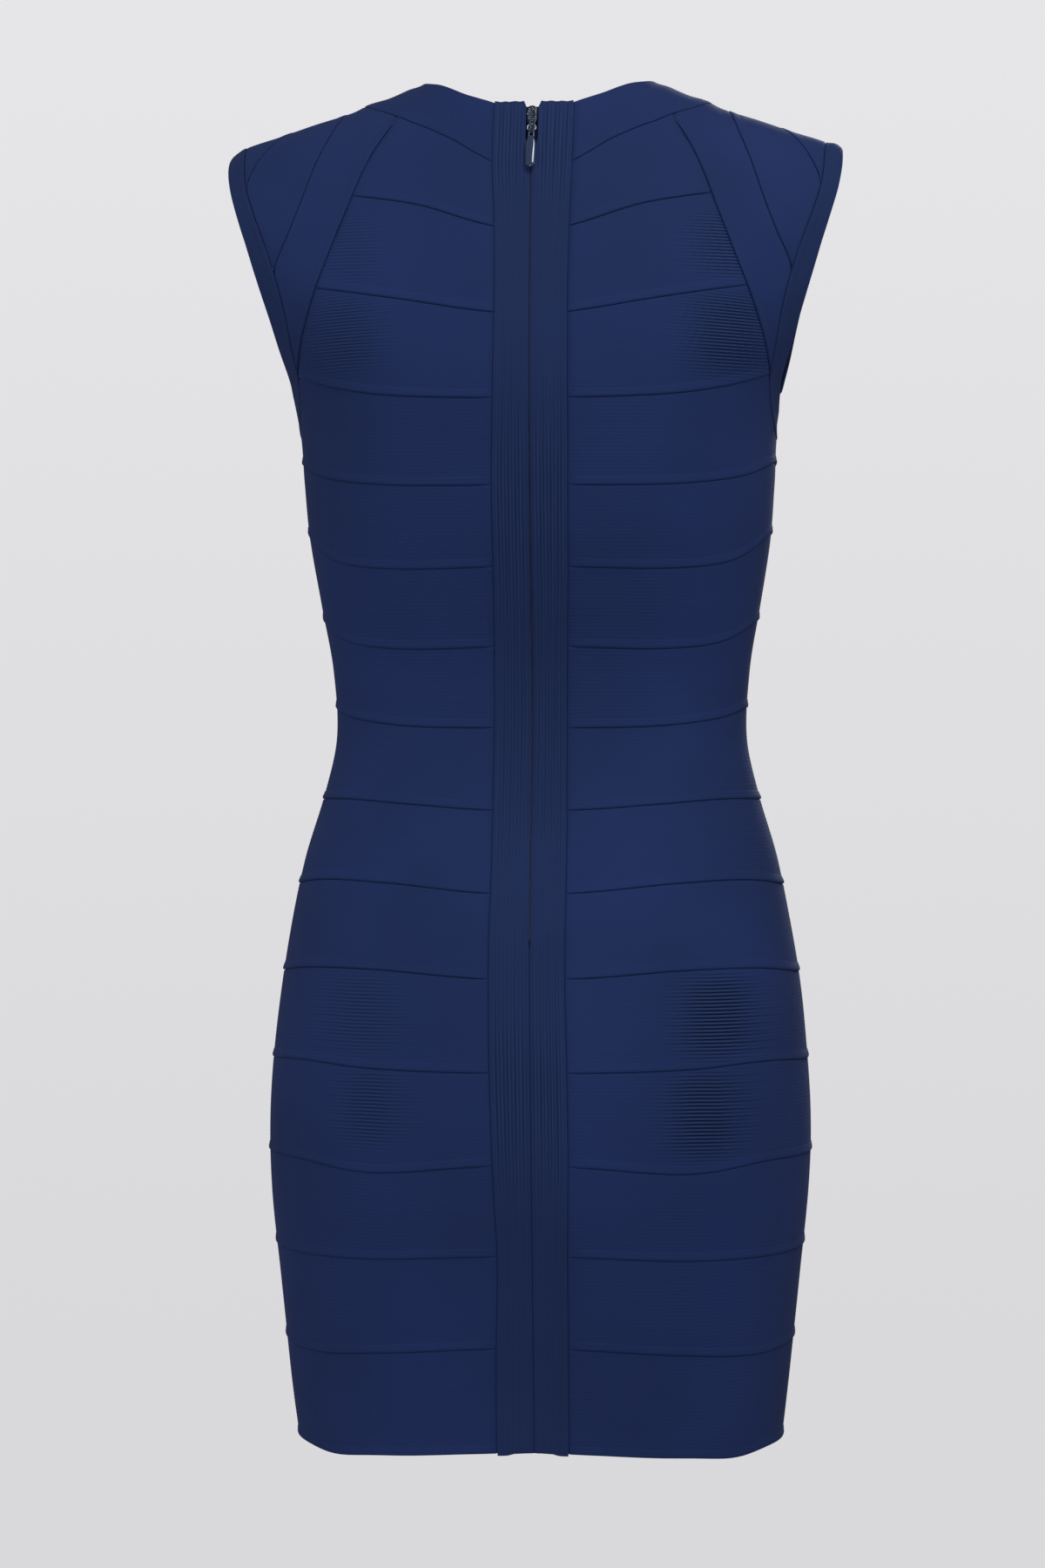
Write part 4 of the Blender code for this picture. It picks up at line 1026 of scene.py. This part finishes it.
def frontStrips():
    # each strip's node, surface and reliefs of its four edges
    leans = [seamLean(seams["upperFront1"], front), seamLean(seams["upperFront2"], front), lastLean]
    neck = seams["neckSeamFront"]

    def neckHeight(x):
        return heightAt(x, neck["lean"] * np.sqrt(np.maximum(0.0, 1 - (x / neck["half"]) ** 2)))

    meet = crossing(lambda x: reading(seams["upperFront1"], x) - neckHeight(x), 0.02, 0.095)
    tip = joiningLean(front) + 1.5
    tipEnds = [lineOver(line, tip, tip, front)(0.0) for line in
               (neckSeamX, lambda lean, side: shoulderSeam(chestSeam, lean, side))]

    def tipEdge(t):
        t = np.asarray(t, float)
        return tuple(tipEnds[0][axis] + (tipEnds[1][axis] - tipEnds[0][axis]) * t for axis in (0, 1))

    low = leanAt(meet, neckHeight(meet))
    outer = shoulderSeam(chestSeam, leans[0], front)
    side = patch(tipEdge, levelLine(seams["upperFront1"], meet, outer),
                 lineOver(neckSeamX, tip, low, front), chestLine(tip, leans[0], front), front)

    def upper(t):
        x = outer * np.asarray(t, float)
        return x, np.where(x < meet, neckHeight(x), reading(seams["upperFront1"], x))

    middle = levelLine(seams["upperFront2"], 0.0, shoulderSeam(chestSeam, leans[1], front))
    yield "front_strip_1_right", side, (-0.3, 0.6, -0.3, -0.8)
    yield "front_strip_1_left", handed(side, left), (-0.3, 0.6, -0.3, -0.8)
    for node, top, bottom, lows in (("front_strip_2", upper, middle, leans[0:2]),
                                    ("front_strip_3", middle, chestBorder(0.0, front), leans[1:3])):
        centre = straightAcross(0.0, top(0.0)[1], bottom(0.0)[1])
        shape = patch(top, bottom, centre, chestLine(*lows, front), front, mirrored=True)
        yield node, shape, (-0.6, 0.6, -0.8, -0.8)


for node, shape, kinds in frontStrips():
    cloth(node, shape, dict(zip(("top", "bottom", "start", "end"), kinds)), navyKnit, level=True)
print("stage: upper back and front")


# Shoulder strips

def shoulderSurface(innerColumn, outerColumn, hand):
    # from its lower end in front over the shoulder to its lower end behind
    end = seams["runIn"][innerColumn] - 0.25

    def surface(U, V):
        U, V = np.broadcast_arrays(U, V)
        signed = end * (2 * U - 1)
        side, lean = np.where(signed < 0, front, back), np.abs(signed)
        inner = shoulderSeam(innerColumn, lean, side)
        if innerColumn == chestSeam:
            neck = np.where(side == back, neckSeamX(lean, back), neckSeamX(lean, front))
            inner = np.maximum(inner, neck)
        outer = shoulderSeam(outerColumn, lean, side)
        return overShoulder(hand * (inner + (outer - inner) * V), lean, side)
    return surface, end


def neckToChest(end):
    # relief of the first strip's inner edge: under the neck band, then over the chest strips
    joins = joiningLean(front), joiningLean(back)

    def relief(u):
        signed = end * (2 * u - 1)
        return 1.2 * (ease((-signed - joins[0]) / 4) + ease((signed - joins[1]) / 4)) - 0.3
    return relief


for word, hand in hands.items():
    for number, (inner, outer) in enumerate(((chestSeam, middleSeam), (middleSeam, outerSeam),
                                             (outerSeam, bandSeam))):
        shape, end = shoulderSurface(inner, outer, hand)
        innerEdge = neckToChest(end) if inner == chestSeam else 0.4
        cloth(f"shoulder_strip_{number + 1}_{word}", shape,
              {"top": innerEdge, "bottom": -0.35 if number == 2 else -0.4}, navyKnit)
print("stage: shoulder strips")


# Armhole bands and neck band

def evenly(points, count):
    # the same line through points evenly spaced along it
    length = arcLength(points, 0)
    at = np.linspace(0, length[-1], count)
    return np.stack([np.interp(at, length, points[:, axis]) for axis in range(3)], -1)


def rounded(points, inside=9):
    # closed Catmull-Rom curve through points
    before, after = np.roll(points, 1, 0), np.roll(points, -1, 0)
    later = np.roll(points, -2, 0)
    t = (np.arange(inside) / inside)[None, :, None]
    a, b, c, d = (line[:, None, :] for line in (before, points, after, later))
    curve = 0.5 * (2 * b + (c - a) * t + (2 * a - 5 * b + 4 * c - d) * t**2
                   + (3 * b - a - 3 * c + d) * t**3)
    return curve.reshape(-1, 3)


def armholeSurface(hand):
    # straight across from the band's seam to its open edge, both closed curves over the shoulder
    # and under the arm
    share = np.linspace(0, 1, 241)
    edges = []
    for column, turnAt in ((bandSeam, 0), (openEdge, 2)):
        quarters = []
        for side in (back, front):
            leans = np.linspace(0.0, lastLean, 15)
            over = overShoulder(shoulderSeam(column, leans, side), leans, side)
            rows = np.array(seams["underarm"])
            turn, z = rows[:, turnAt], rows[:, turnAt + 1]
            around = 90 - turn if side == back else 90 + turn
            quarters.append(np.concatenate([over, roundBody(around, z, right)]))
        loop = rounded(np.concatenate([quarters[0], quarters[1][-2:0:-1]]))
        edges.append(evenly(np.concatenate([loop, loop[:1]]), len(share)))
    mirror = np.array([hand, 1, 1])

    def surface(U, V):
        U, V = np.broadcast_arrays(U, V)
        seam, edge = (np.stack([np.interp(U, share, line[:, axis]) for axis in range(3)], -1)
                      for line in edges)
        return (seam + (edge - seam) * V[..., None]) * mirror
    return surface


armholeEdge = {
    "left": (0.0, 0.20),  # at the shoulder's tip: how far it stands up, where across it curls down
    "right": (0.0020, 0.45),
    "curl": 0.0036,  # how far it curls down there
    "riseSpread": 0.030,  # front to back, of the bell curves that both fade by
    "curlSpread": 0.022,
    "tips": (-0.10, 0.03),  # the tips start at this height, over this
    "underarm": 0.0062,  # how far it leans in there
    "leans": (-0.185, 0.012),  # from this height down, over this
    "leansFront": (-0.020, 0.040),  # and from just behind its lowest to the front, over this
}


def tipRound(word):
    # up by rise, then down by curl (1 - sqrt(1 - t^2)) across the band's outer part, and below the
    # tips in by lean V
    edge = armholeEdge
    rise, start = edge[word]

    def lift(U, V, P):
        y, z = P[..., 1], P[..., 2]
        t = np.clip((V - start) / (1 - start), 0, 1) * 0.995
        high = ease((z - edge["tips"][0]) / edge["tips"][1])
        tip = rise * ease(V / 0.5) * np.exp(-(y / edge["riseSpread"]) ** 2) \
            - edge["curl"] * (1 - np.sqrt(1 - t * t)) * np.exp(-(y / edge["curlSpread"]) ** 2)
        lean = edge["underarm"] * ease((y - edge["leansFront"][0]) / edge["leansFront"][1])
        low = ease((edge["leans"][0] - z) / edge["leans"][1])
        return high * tip - (1 - high) * lean * ease(V * 1.3) * low
    return lift


for word, hand in hands.items():
    cloth(f"armhole_band_{word}", armholeSurface(hand), {"top": 0.35}, bandKnit, ring=True,
          columnStep=0.0035, lift=tipRound(word))


def neckSurface():
    # from the right centre band over both shoulders and round the front to the left one, straight
    # across in distance and lean between pairs of points on the neck seam and the neckline
    seam, line = seams["neckSeamFront"], seams["necklineFront"]
    t = np.linspace(1, 0, 200)
    leans = leanAtBand(neckSeamX) * t, leanAtBand(neckLineX) * t**1.2
    backHalf = np.stack([neckSeamX(leans[0], back), leans[0], neckLineX(leans[1], back), leans[1]], -1)
    turn = np.linspace(0, math.pi / 2, 200)[1:]
    frontHalf = np.stack([seam["half"] * np.cos(turn), -seam["lean"] * np.sin(turn),
                          line["half"] * np.cos(turn), -line["lean"] * np.sin(turn)], -1)
    rightHalf = np.concatenate([backHalf, frontHalf])
    leftHalf = rightHalf[-2::-1] * np.array([-1, 1, -1, 1])
    stops = np.concatenate([rightHalf, leftHalf])
    middle = (stops[:, :2] + stops[:, 2:]) / 2
    points = overShoulder(middle[:, 0], np.abs(middle[:, 1]), np.where(middle[:, 1] < 0, front, back))
    share = arcLength(points, 0)
    length = share[-1]
    share = share / length

    def surface(U, V):
        U, V = np.broadcast_arrays(U, V)
        near = np.clip(U, 0.0, 1.0)
        at = [np.interp(near, share, stops[:, place]) for place in range(4)]
        x = at[2] + (at[0] - at[2]) * V
        lean = at[3] + (at[1] - at[3]) * V
        p = overShoulder(x, np.abs(lean), np.where(lean < 0, front, back))
        p[..., 0] += (U - near) * length  # beyond both ends it runs on straight
        return p
    return surface


def neckRound(U, V, P):
    # the neckline's edge curls in where it crosses the shoulder
    return -0.0010 * ease(1 - V / 0.25) * np.exp(-(P[..., 1] / 0.020) ** 2)


cloth("neck_band", neckSurface(), {"bottom": 0.2, "start": -0.5, "end": -0.5}, navyKnit,
      lift=neckRound)
print("stage: armhole bands and neck band")


# Centre bands and zip

zipSpec = {
    "sliderTop": -0.0255,
    "sliderBottom": -0.0462,
    "sliderWidth": 0.0064,
    "clear": 0.0035,  # from the zip's line to a band beside the slider
    "notch": 0.0016,  # and this much further out at the bands' top
    "closing": 0.0080,  # the bands close up over this below the slider
    "slit": 0.00038,  # half its width below the slider
    "slitWide": 0.00055,  # and where it gapes, between these heights
    "gape": (-0.275, -0.350),
    "hemDip": 0.0016,  # of a band's outer part at the hem
    "roll": 0.0006,  # how far a band's inner edge rolls in
    "rollReach": 0.12,  # share of its width that rolls
    "gather": 0.00035,  # height of the soft gathers across its top
    "gatherTurn": 19,  # radians of them across the band
    "gathered": (-0.075, 0.05),  # they start at this height, over this
    # where its ribs stand open: height, half height, strength
    "ribs": ((-0.262, 0.050, 0.58), (-0.400, 0.090, 0.26), (-0.610, 0.045, 0.62)),
    "ribsAtTop": 0.45,
    "ribsTop": (-0.022, -0.095),  # between these heights
    "ribsElsewhere": 0.08,
    "ribsUneven": 0.35,  # they vary by this share across the band
    "ribsTurn": (1730, 31),  # in waves of so many radians a metre across and up
}


def bandTop():
    # height where the neckline meets a centre band's outer seam
    return float(heightAt(bandHalf, leanAtBand(neckLineX)))


def bandInner(z):
    # how far a centre band stops from the zip's line: clear + notch beside the slider, then the slit
    spec = zipSpec
    gape = ease((spec["gape"][0] + 0.01 - z) / 0.02) * ease((z - spec["gape"][1] + 0.01) / 0.02)
    below = spec["slit"] + (spec["slitWide"] - spec["slit"]) * gape
    below = below * ease((z - seams["zipEnd"]) / 0.002)
    closed = ease((spec["sliderBottom"] - z) / spec["closing"])
    part = np.clip((z - spec["sliderTop"]) / (bandTop() - spec["sliderTop"]), 0.0, 1.1)
    return spec["clear"] + spec["notch"] * part + (below - spec["clear"]) * closed


def centreSurface(hand):
    # from the zip's line + inner out to its outer seam, and from the neckline down to the hem
    high, low = bandTop(), seams["level"][-1][0]

    def surface(U, V):
        U, V = np.broadcast_arrays(U, V)
        bottom = low - zipSpec["hemDip"] * ease((V - 0.4) / 0.4)
        z = high + (bottom - high) * U
        inner = bandInner(z)
        x = zipLine(z) + hand * (inner + (bandHalf - inner) * V)
        return onForm(x, z, back)
    return surface


def bandLift(U, V, P):
    # the inner edge rolls in towards the zip below the slider, and soft gathers, gather sin(turn V),
    # lie across the band's top
    z, spec = P[..., 2], zipSpec
    roll = spec["roll"] * ease(1 - V / spec["rollReach"]) * ease((spec["sliderBottom"] - z) / 0.01)
    gathered = ease((z - spec["gathered"][0]) / spec["gathered"][1])
    return spec["gather"] * np.sin(V * spec["gatherTurn"] + 2) * gathered - roll


def bandRibs(P):
    # open beside the slider and, by a bell curve each, in the stretches below, unevenly across
    x, z, spec = P[..., 0], P[..., 2], zipSpec
    high, low = spec["ribsTop"]
    opening = spec["ribsElsewhere"] \
        + spec["ribsAtTop"] * ease((z - low) / 0.04) * ease((high - z) / 0.012)
    for middle, spread, strength in spec["ribs"]:
        opening = opening + strength * np.exp(-(((z - middle) / spread) ** 2))
    across, up = spec["ribsTurn"]
    return opening * (1 - spec["ribsUneven"] + spec["ribsUneven"] * np.sin(across * x + up * z))


for word, hand in hands.items():
    cloth(f"centre_band_{word}", centreSurface(hand), {"bottom": 0.5}, bandKnit,
          rowStep=0.00042, columnStep=0.0030, lift=bandLift, ribs=bandRibs)


tape = {
    "top": -0.0245,
    "past": 0.012,  # how far it runs on below the zip's end
    "half": 0.011,
    "depth": 0.0021,  # beneath the bands' middle
    "thickness": 0.0009,
}


def tapeSurface(U, V):
    # both tapes, from the slider's top to a little past the zip's end
    U, V = np.broadcast_arrays(U, V)
    z = tape["top"] + (seams["zipEnd"] - tape["past"] - tape["top"]) * U
    return onForm(zipLine(z) + tape["half"] * (2 * V - 1), z, back)


cloth("zip_tape", tapeSurface, {}, tapeWeave, name="zip_tape_weave", rowStep=0.0012,
      lift=lambda U, V, P: -tape["depth"] + 0 * V, thickness=tape["thickness"])
print("stage: centre bands and tape")


slider = {
    "roundness": 4.5,
    "proud": 0.0010,
    "thick": 0.0024,
    "waist": 0.66,  # width of its lower half over its head's
    "foot": 0.0010,  # how far up its lower end rounds off
    "groove": (0.0010, 0.0002),  # half width and depth of the groove down its face
    "wire": 0.0006,
    "bridge": 0.0016,  # radius of the bridge wire's centre line about the hinge
    "hingeLevel": -0.0435,
    "hingeHeight": 0.0009,
}
sliderRelief = {  # along the slider, 0 at its middle, then radii and wire
    "ring": {"at": -0.0043, "across": 0.0025, "up": 0.0025, "wire": 0.00050},
    "wreath": {"at": 0.0048, "across": 0.0023, "up": 0.0043, "wire": 0.00042},
    "waves": 8,  # round the wreath
    "swing": 0.08,  # how far they go out and in, as a share
    "lift": 0.00025,  # and up and down
    "beads": 5,
    "beadRadius": 0.0007,
    "beadTop": 0.0077,
    "beadStep": 0.00145,
    "beadAside": 0.00050,
}
tab = {
    "length": 0.0236,
    "half": 0.0031,
    "eyeHalf": 0.0019,
    "eyeHole": 0.0010,
    "eyeTop": -0.0005,
    "eyeBottom": -0.0026,
    "thick": 0.0010,
    "bend": 0.00045,  # of the arch round the eye
    "taper": 0.07,  # how much narrower it is again at its end
    "crown": 0.0007,  # how much the face swells
    "ridge": (0.58, 0.30),  # share of the half width where it is highest, at the eye and the end
    "lean": 24.0,
}
teeth = {"pitch": 0.0013, "length": 0.0020, "radius": 0.00030, "depth": -0.0019, "cross": 0.0003}


def sliderFrame():
    # the slider's middle, its three axes (right, up the zip, out of the cloth) and its length
    high, low = (onForm(np.array(0.0), np.array(z), back) for z in
                 (zipSpec["sliderTop"], zipSpec["sliderBottom"]))
    length = float(np.linalg.norm(high - low))
    up = (high - low) / length
    across = np.array([1.0, 0, 0])
    return (high + low) / 2, np.stack([across, up, np.cross(across, up)]), length


def solid(name, pieces, material, body="dress"):
    # closed mesh joined from lofts, each a grid whose rows loop round and whose columns run along
    made = [shellMesh(name, grid, np.zeros((*grid.shape[:2], 2)), ring) for grid, ring in pieces]
    if len(made) > 1:
        with bpy.context.temp_override(active_object=made[0], selected_editable_objects=made):
            bpy.ops.object.join()
    made[0].name = name
    made[0].data.set_sharp_from_angle(angle=math.radians(50))
    made[0].data.materials.append(material)
    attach(made[0], body)
    return made[0]


def tube(points, radius, sides, flat=1.0):
    # ring of points round each point of a line: radius (cos beside + flat sin normal), beside being
    # square to both the line and its plane's normal
    along = np.gradient(points, axis=0)
    along /= np.linalg.norm(along, axis=1, keepdims=True)
    normal = np.cross(along[0], along[len(points) // 3])
    normal /= np.linalg.norm(normal)
    beside = np.cross(along, normal)
    turn = np.linspace(0, 2 * math.pi, sides, endpoint=False)[:, None, None]
    return points + radius * (np.cos(turn) * beside + flat * np.sin(turn) * normal)


sliderAt, sliderAxes, sliderLength = sliderFrame()
hingeLocal = np.array([
    0.0,
    (onForm(np.array(0.0), np.array(slider["hingeLevel"]), back) - sliderAt) @ sliderAxes[1],
    slider["proud"] + slider["hingeHeight"]])
hingeAt = sliderAt + hingeLocal @ sliderAxes


def onSlider(x, y, z):
    # a place on the slider: x across, y up the zip, z out of the cloth
    return sliderAt + np.stack(np.broadcast_arrays(x, y, z), -1) @ sliderAxes


def sliderBody():
    # x = w cos^(2/n), z = h sin^(2/n) round each section. The head ends in a half round, the lower
    # half is narrower, and a groove runs down the face.
    y = -np.cos(np.linspace(0, math.pi, 61))
    fromTop = (1 - y) / 2 * sliderLength
    full = zipSpec["sliderWidth"] / 2
    head = np.sqrt(np.clip(1 - (1 - np.clip(fromTop / full, 0, 1)) ** 2, 0.0006, 1))
    fromFoot = np.clip((sliderLength - fromTop) / slider["foot"], 0, 1)
    foot = np.sqrt(np.clip(1 - (1 - fromFoot) ** 2, 0.02, 1))
    waist = 1 + (slider["waist"] - 1) * ease((fromTop / sliderLength - 0.40) / 0.18)
    width = full * head * foot * waist
    turn = np.linspace(0, 2 * math.pi, 48, endpoint=False)[:, None]
    power = 2 / slider["roundness"]
    c, s = np.cos(turn), np.sin(turn)
    x = np.sign(c) * np.abs(c) ** power * width
    z = np.sign(s) * np.abs(s) ** power * slider["thick"] / 2 * (0.25 + 0.75 * np.sqrt(head * foot))
    grooveHalf, grooveDepth = slider["groove"]
    groove = grooveDepth * np.exp(-(x / grooveHalf) ** 2) * ease((0.9 - np.abs(y)) / 0.2)
    z = z - np.where(s > 0, groove, 0.0) + slider["proud"] - slider["thick"] / 2
    return onSlider(x, y * sliderLength / 2, z)


def bridge():
    # half round over the hinge, its feet in the slider
    turn = np.linspace(0, math.pi, 25)
    radius, foot = slider["bridge"], -slider["hingeHeight"] - 0.0004
    y = np.concatenate([[-radius], -radius * np.cos(turn), [radius]])
    z = np.concatenate([[foot], radius * np.sin(turn), [foot]])
    return tube(onSlider(0.0, y + hingeLocal[1], z + hingeLocal[2]), slider["wire"], 14)


def raisedOval(spec, height, steps, waves=0):
    # wire round an oval on the face, waved by cos(waves turn) outward and up
    turn = np.linspace(0, 2 * math.pi, steps)
    wave = np.cos(waves * turn) if waves else 0 * turn
    out = 1 + sliderRelief["swing"] * wave
    return tube(onSlider(spec["across"] * out * np.cos(turn), spec["at"] + spec["up"] * out * np.sin(turn),
                         slider["proud"] + height + sliderRelief["lift"] * wave), spec["wire"], 12)


def beads():
    # round beads inside the wreath, to either side in turn
    down = np.linspace(0.15, math.pi - 0.15, 9)[None, :]
    turn = np.linspace(0, 2 * math.pi, 16, endpoint=False)[:, None]
    radius = sliderRelief["beadRadius"]
    for number in range(sliderRelief["beads"]):
        x = sliderRelief["beadAside"] * (-1) ** number
        y = sliderRelief["beadTop"] - sliderRelief["beadStep"] * number
        yield onSlider(x + radius * np.sin(down) * np.cos(turn), y + radius * np.sin(down) * np.sin(turn),
                       slider["proud"] + radius * np.cos(down))


# the slider body takes the enamel painted darker as shade
made = solid("zip_slider_body", [(sliderBody(), False), (bridge(), False)], shadedBodyEnamel)
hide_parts("zip_slider")
ovals = (raisedOval(sliderRelief["ring"], -0.0001, 49),
         raisedOval(sliderRelief["wreath"], 0.0001, 129, sliderRelief["waves"]))
solid("zip_slider_wreath", [*((oval, True) for oval in ovals), *((bead, False) for bead in beads())],
      wreathEnamel)


def onTab(x, y, z):
    # the tab's own place: x across, y up towards the hinge, z out of its face
    lean = math.radians(90 - tab["lean"])
    axes = np.array([[1, 0, 0], [0, math.cos(lean), math.sin(lean)], [0, -math.sin(lean), math.cos(lean)]])
    return hingeAt + np.stack(np.broadcast_arrays(x, y, z), -1) @ axes


def tabBlade():
    # half width grows from the eye and closes in a half ellipse. The face swells by
    # crown (1 - ((across - ridge) / (1 -+ ridge))^2), with its highest line beside the middle.
    low, start = -tab["length"], tab["eyeBottom"] + 0.0002
    y = start + (low - start) * (1 - np.cos(np.linspace(0, math.pi, 70))) / 2
    share = (y - start) / (low - start)
    width = tab["eyeHalf"] + (tab["half"] - tab["eyeHalf"]) * ease(share * 3.6)
    width = width * (1 - tab["taper"] * ease((share - 0.45) / 0.5))
    near = np.clip((y - low) / (1.10 * tab["half"]), 0, 1)
    close = np.sqrt(np.clip(1 - (1 - near) ** 2, 0.0004, 1))
    turn = np.linspace(0, 2 * math.pi, 64, endpoint=False)[:, None]
    across, s = np.cos(turn), np.sin(turn)
    edge = np.sign(s) * np.sqrt(np.maximum(0, 1 - np.abs(across) ** 8)) * tab["thick"] / 2
    ridge = tab["ridge"][0] + (tab["ridge"][1] - tab["ridge"][0]) * ease(share / 0.7)
    beside = np.where(across > ridge, (across - ridge) / (1 - ridge), (ridge - across) / (1 + ridge))
    face = tab["crown"] * (1 - beside**2)
    z = edge * (0.35 + 0.65 * close) + np.where(s > 0, face * close * ease(share / 0.15), 0.0)
    return onTab(across * width * close, y, z)


def tabEye():
    # rounded arch round the eye, its feet buried in the blade
    outer, inner = tab["eyeHalf"], tab["eyeHole"]
    wide, top, corner = (outer + inner) / 2, (tab["thick"] / 2 + tab["eyeTop"]) / 2, tab["bend"]
    quarter = np.linspace(0, math.pi / 2, 6)
    bend = np.stack([wide - corner + corner * np.cos(quarter),
                     top - corner + corner * np.sin(quarter)], -1)
    foot = np.array([[wide, tab["eyeBottom"] - 0.0004]])
    line = np.concatenate([foot, bend, bend[::-1] * [-1, 1], foot * [-1, 1]])
    thick = (outer - inner) / 2
    return tube(onTab(line[:, 0], line[:, 1], 0.0), thick, 12, flat=tab["thick"] / 2 / thick)


made = solid("zip_pull_tab_blade", [(tabBlade(), False), (tabEye(), False)], enamel, "zip_pull")
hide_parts("zip_pull_tab")


def zipTeeth():
    # both rows of teeth, half a step apart, each tooth a short bar across the tape: four rings of
    # at + across + radius (cos up + sin normal), smaller at its ends
    z = np.arange(zipSpec["sliderBottom"] - 0.004, seams["zipEnd"] + 0.003, -teeth["pitch"])
    turn = np.linspace(0, 2 * math.pi, 6, endpoint=False)
    share = np.array([0.0, 0.12, 0.88, 1.0])
    size = np.array([0.45, 1.0, 1.0, 0.45])
    verts, quads = [], []
    for hand in (left, right):
        level = z + (teeth["pitch"] / 2 if hand == left else 0)
        at = onForm(zipLine(level), level, back)
        normal = outward(at)
        up = np.cross(normal, [1.0, 0, 0])
        up /= np.linalg.norm(up, axis=-1, keepdims=True)
        x = hand * (-teeth["cross"] + share * (teeth["length"] + teeth["cross"]))
        at, normal, up = (place[:, None, None, :] for place in (at, normal, up))
        x, width, angle = x[:, None, None], size[:, None, None], turn[:, None]
        ring = (at + normal * teeth["depth"] + x * np.array([1.0, 0, 0])
                + teeth["radius"] * width * (np.cos(angle) * up + np.sin(angle) * normal))
        base = np.arange(ring[..., 0].size).reshape(ring.shape[:3]) + sum(len(v) for v in verts)
        beside = np.roll(base, -1, 2)
        side = np.stack([base[:, :-1], base[:, 1:], beside[:, 1:], beside[:, :-1]], -1).reshape(-1, 4)
        caps = np.concatenate([base[:, 0, [0, 1, 2, 3]], base[:, 0, [0, 3, 4, 5]],
                               base[:, 3, [3, 2, 1, 0]], base[:, 3, [5, 4, 3, 0]]])
        faces = np.concatenate([side, caps])
        quads.append(faces if hand == left else faces[:, ::-1])
        verts.append(ring.reshape(-1, 3))
    mesh = bpy.data.meshes.new("zip_teeth")
    mesh.from_pydata(np.concatenate(verts).tolist(), [], np.concatenate(quads).tolist())
    mesh.validate()
    mesh.shade_smooth()
    mesh.materials.append(enamel)
    made = placed("zip_teeth", mesh)
    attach(made, "dress")


zipTeeth()
print("stage: slider, pull tab and teeth")


# Studio

studio = {
    "floor": -1.45,
    "wall": 6.5,
    "top": 5.5,
    "bend": 1.6,
    "colour": (1.0, 0.995, 1.022),
    "glow": 0.750,  # its own light at height 0
    "fall": 0.036,  # how much brighter that is for each metre up
    "air": (0.92, 0.93, 1.0),
    "airStrength": 0.25,
}
lamps = {  # place, where it aims, its width and power
    "key": ((0.55, -1.15, 1.45), (0, 0, -0.25), 0.9, 19),
    "fill": ((-0.5, -3.0, -0.75), (0, 0, -0.50), 0.9, 22),
    "left side": ((-2.2, -0.5, 0.4), (0, 0, -0.40), 0.8, 7),
    "right side": ((2.2, -0.5, 0.4), (0, 0, -0.40), 0.8, 6),
    "front": ((0.6, 3.0, 0.9), (0, 0, -0.4), 1.2, 62),
}


def makeBowl(spec):
    # floor, bend and wall turned round the dress's axis; glow = level + fall z. Its own glow is
    # all its light, and none of it falls on the dress.
    bend = np.linspace(0, math.pi / 2, 13)
    r = np.concatenate([[0.001, 2.0, 3.5], spec["wall"] - spec["bend"] + spec["bend"] * np.sin(bend),
                        np.full(6, spec["wall"])])
    z = np.concatenate([[0, 0, 0], spec["bend"] * (1 - np.cos(bend)),
                        np.linspace(spec["bend"], spec["top"] - spec["floor"], 7)[1:]]) + spec["floor"]
    turn = np.linspace(0, 2 * math.pi, 96, endpoint=False)[:, None]
    points = np.stack(np.broadcast_arrays(r * np.cos(turn), r * np.sin(turn), z), -1)
    index = np.arange(points[..., 0].size).reshape(points.shape[:2])
    after = np.roll(index, -1, 0)
    quads = np.stack([index[:, :-1], index[:, 1:], after[:, 1:], after[:, :-1]], -1).reshape(-1, 4)
    mesh = bpy.data.meshes.new("studio_bowl")
    mesh.from_pydata(points.reshape(-1, 3).tolist(), [], [*quads.tolist(), index[:, 0].tolist()])
    mesh.shade_smooth()
    pointValues(mesh, "glow", spec["glow"] + spec["fall"] * points[..., 2])
    nodes = Nodes("studio paper")
    own = nodes.add("ShaderNodeAttribute", {"attribute_name": "glow"})
    nodes.fill(nodes.surface, {
        "Base Color": (0, 0, 0, 1),
        "Roughness": 1.0,
        "Specular IOR Level": 0.0,
        "Emission Color": (*spec["colour"], 1),
        "Emission Strength": own.outputs["Fac"],
    })
    mesh.materials.append(nodes.material)
    bowl = placed("studio_bowl", mesh)
    bowl.visible_diffuse = bowl.visible_glossy = bowl.visible_shadow = False


def makeLight(name, place, aim, size, power):
    data = bpy.data.lights.new(name, "AREA")
    data.shape = "DISK"
    data.size = size
    data.energy = power
    lamp = placed(name, data)
    lamp.location = place
    lamp.rotation_euler = (Vector(aim) - Vector(place)).to_track_quat("-Z", "Y").to_euler()


def makeAir(spec):
    world = bpy.data.worlds.new("studio air")
    world.use_nodes = True
    air = world.node_tree.nodes["Background"]
    air.inputs[0].default_value = (*spec["air"], 1)
    air.inputs[1].default_value = spec["airStrength"]
    bpy.context.scene.world = world


makeBowl(studio)
for name, lamp in lamps.items():
    makeLight(name, *lamp)
makeAir(studio)
bpy.context.scene.view_settings.view_transform = "Standard"

print("stage: studio")
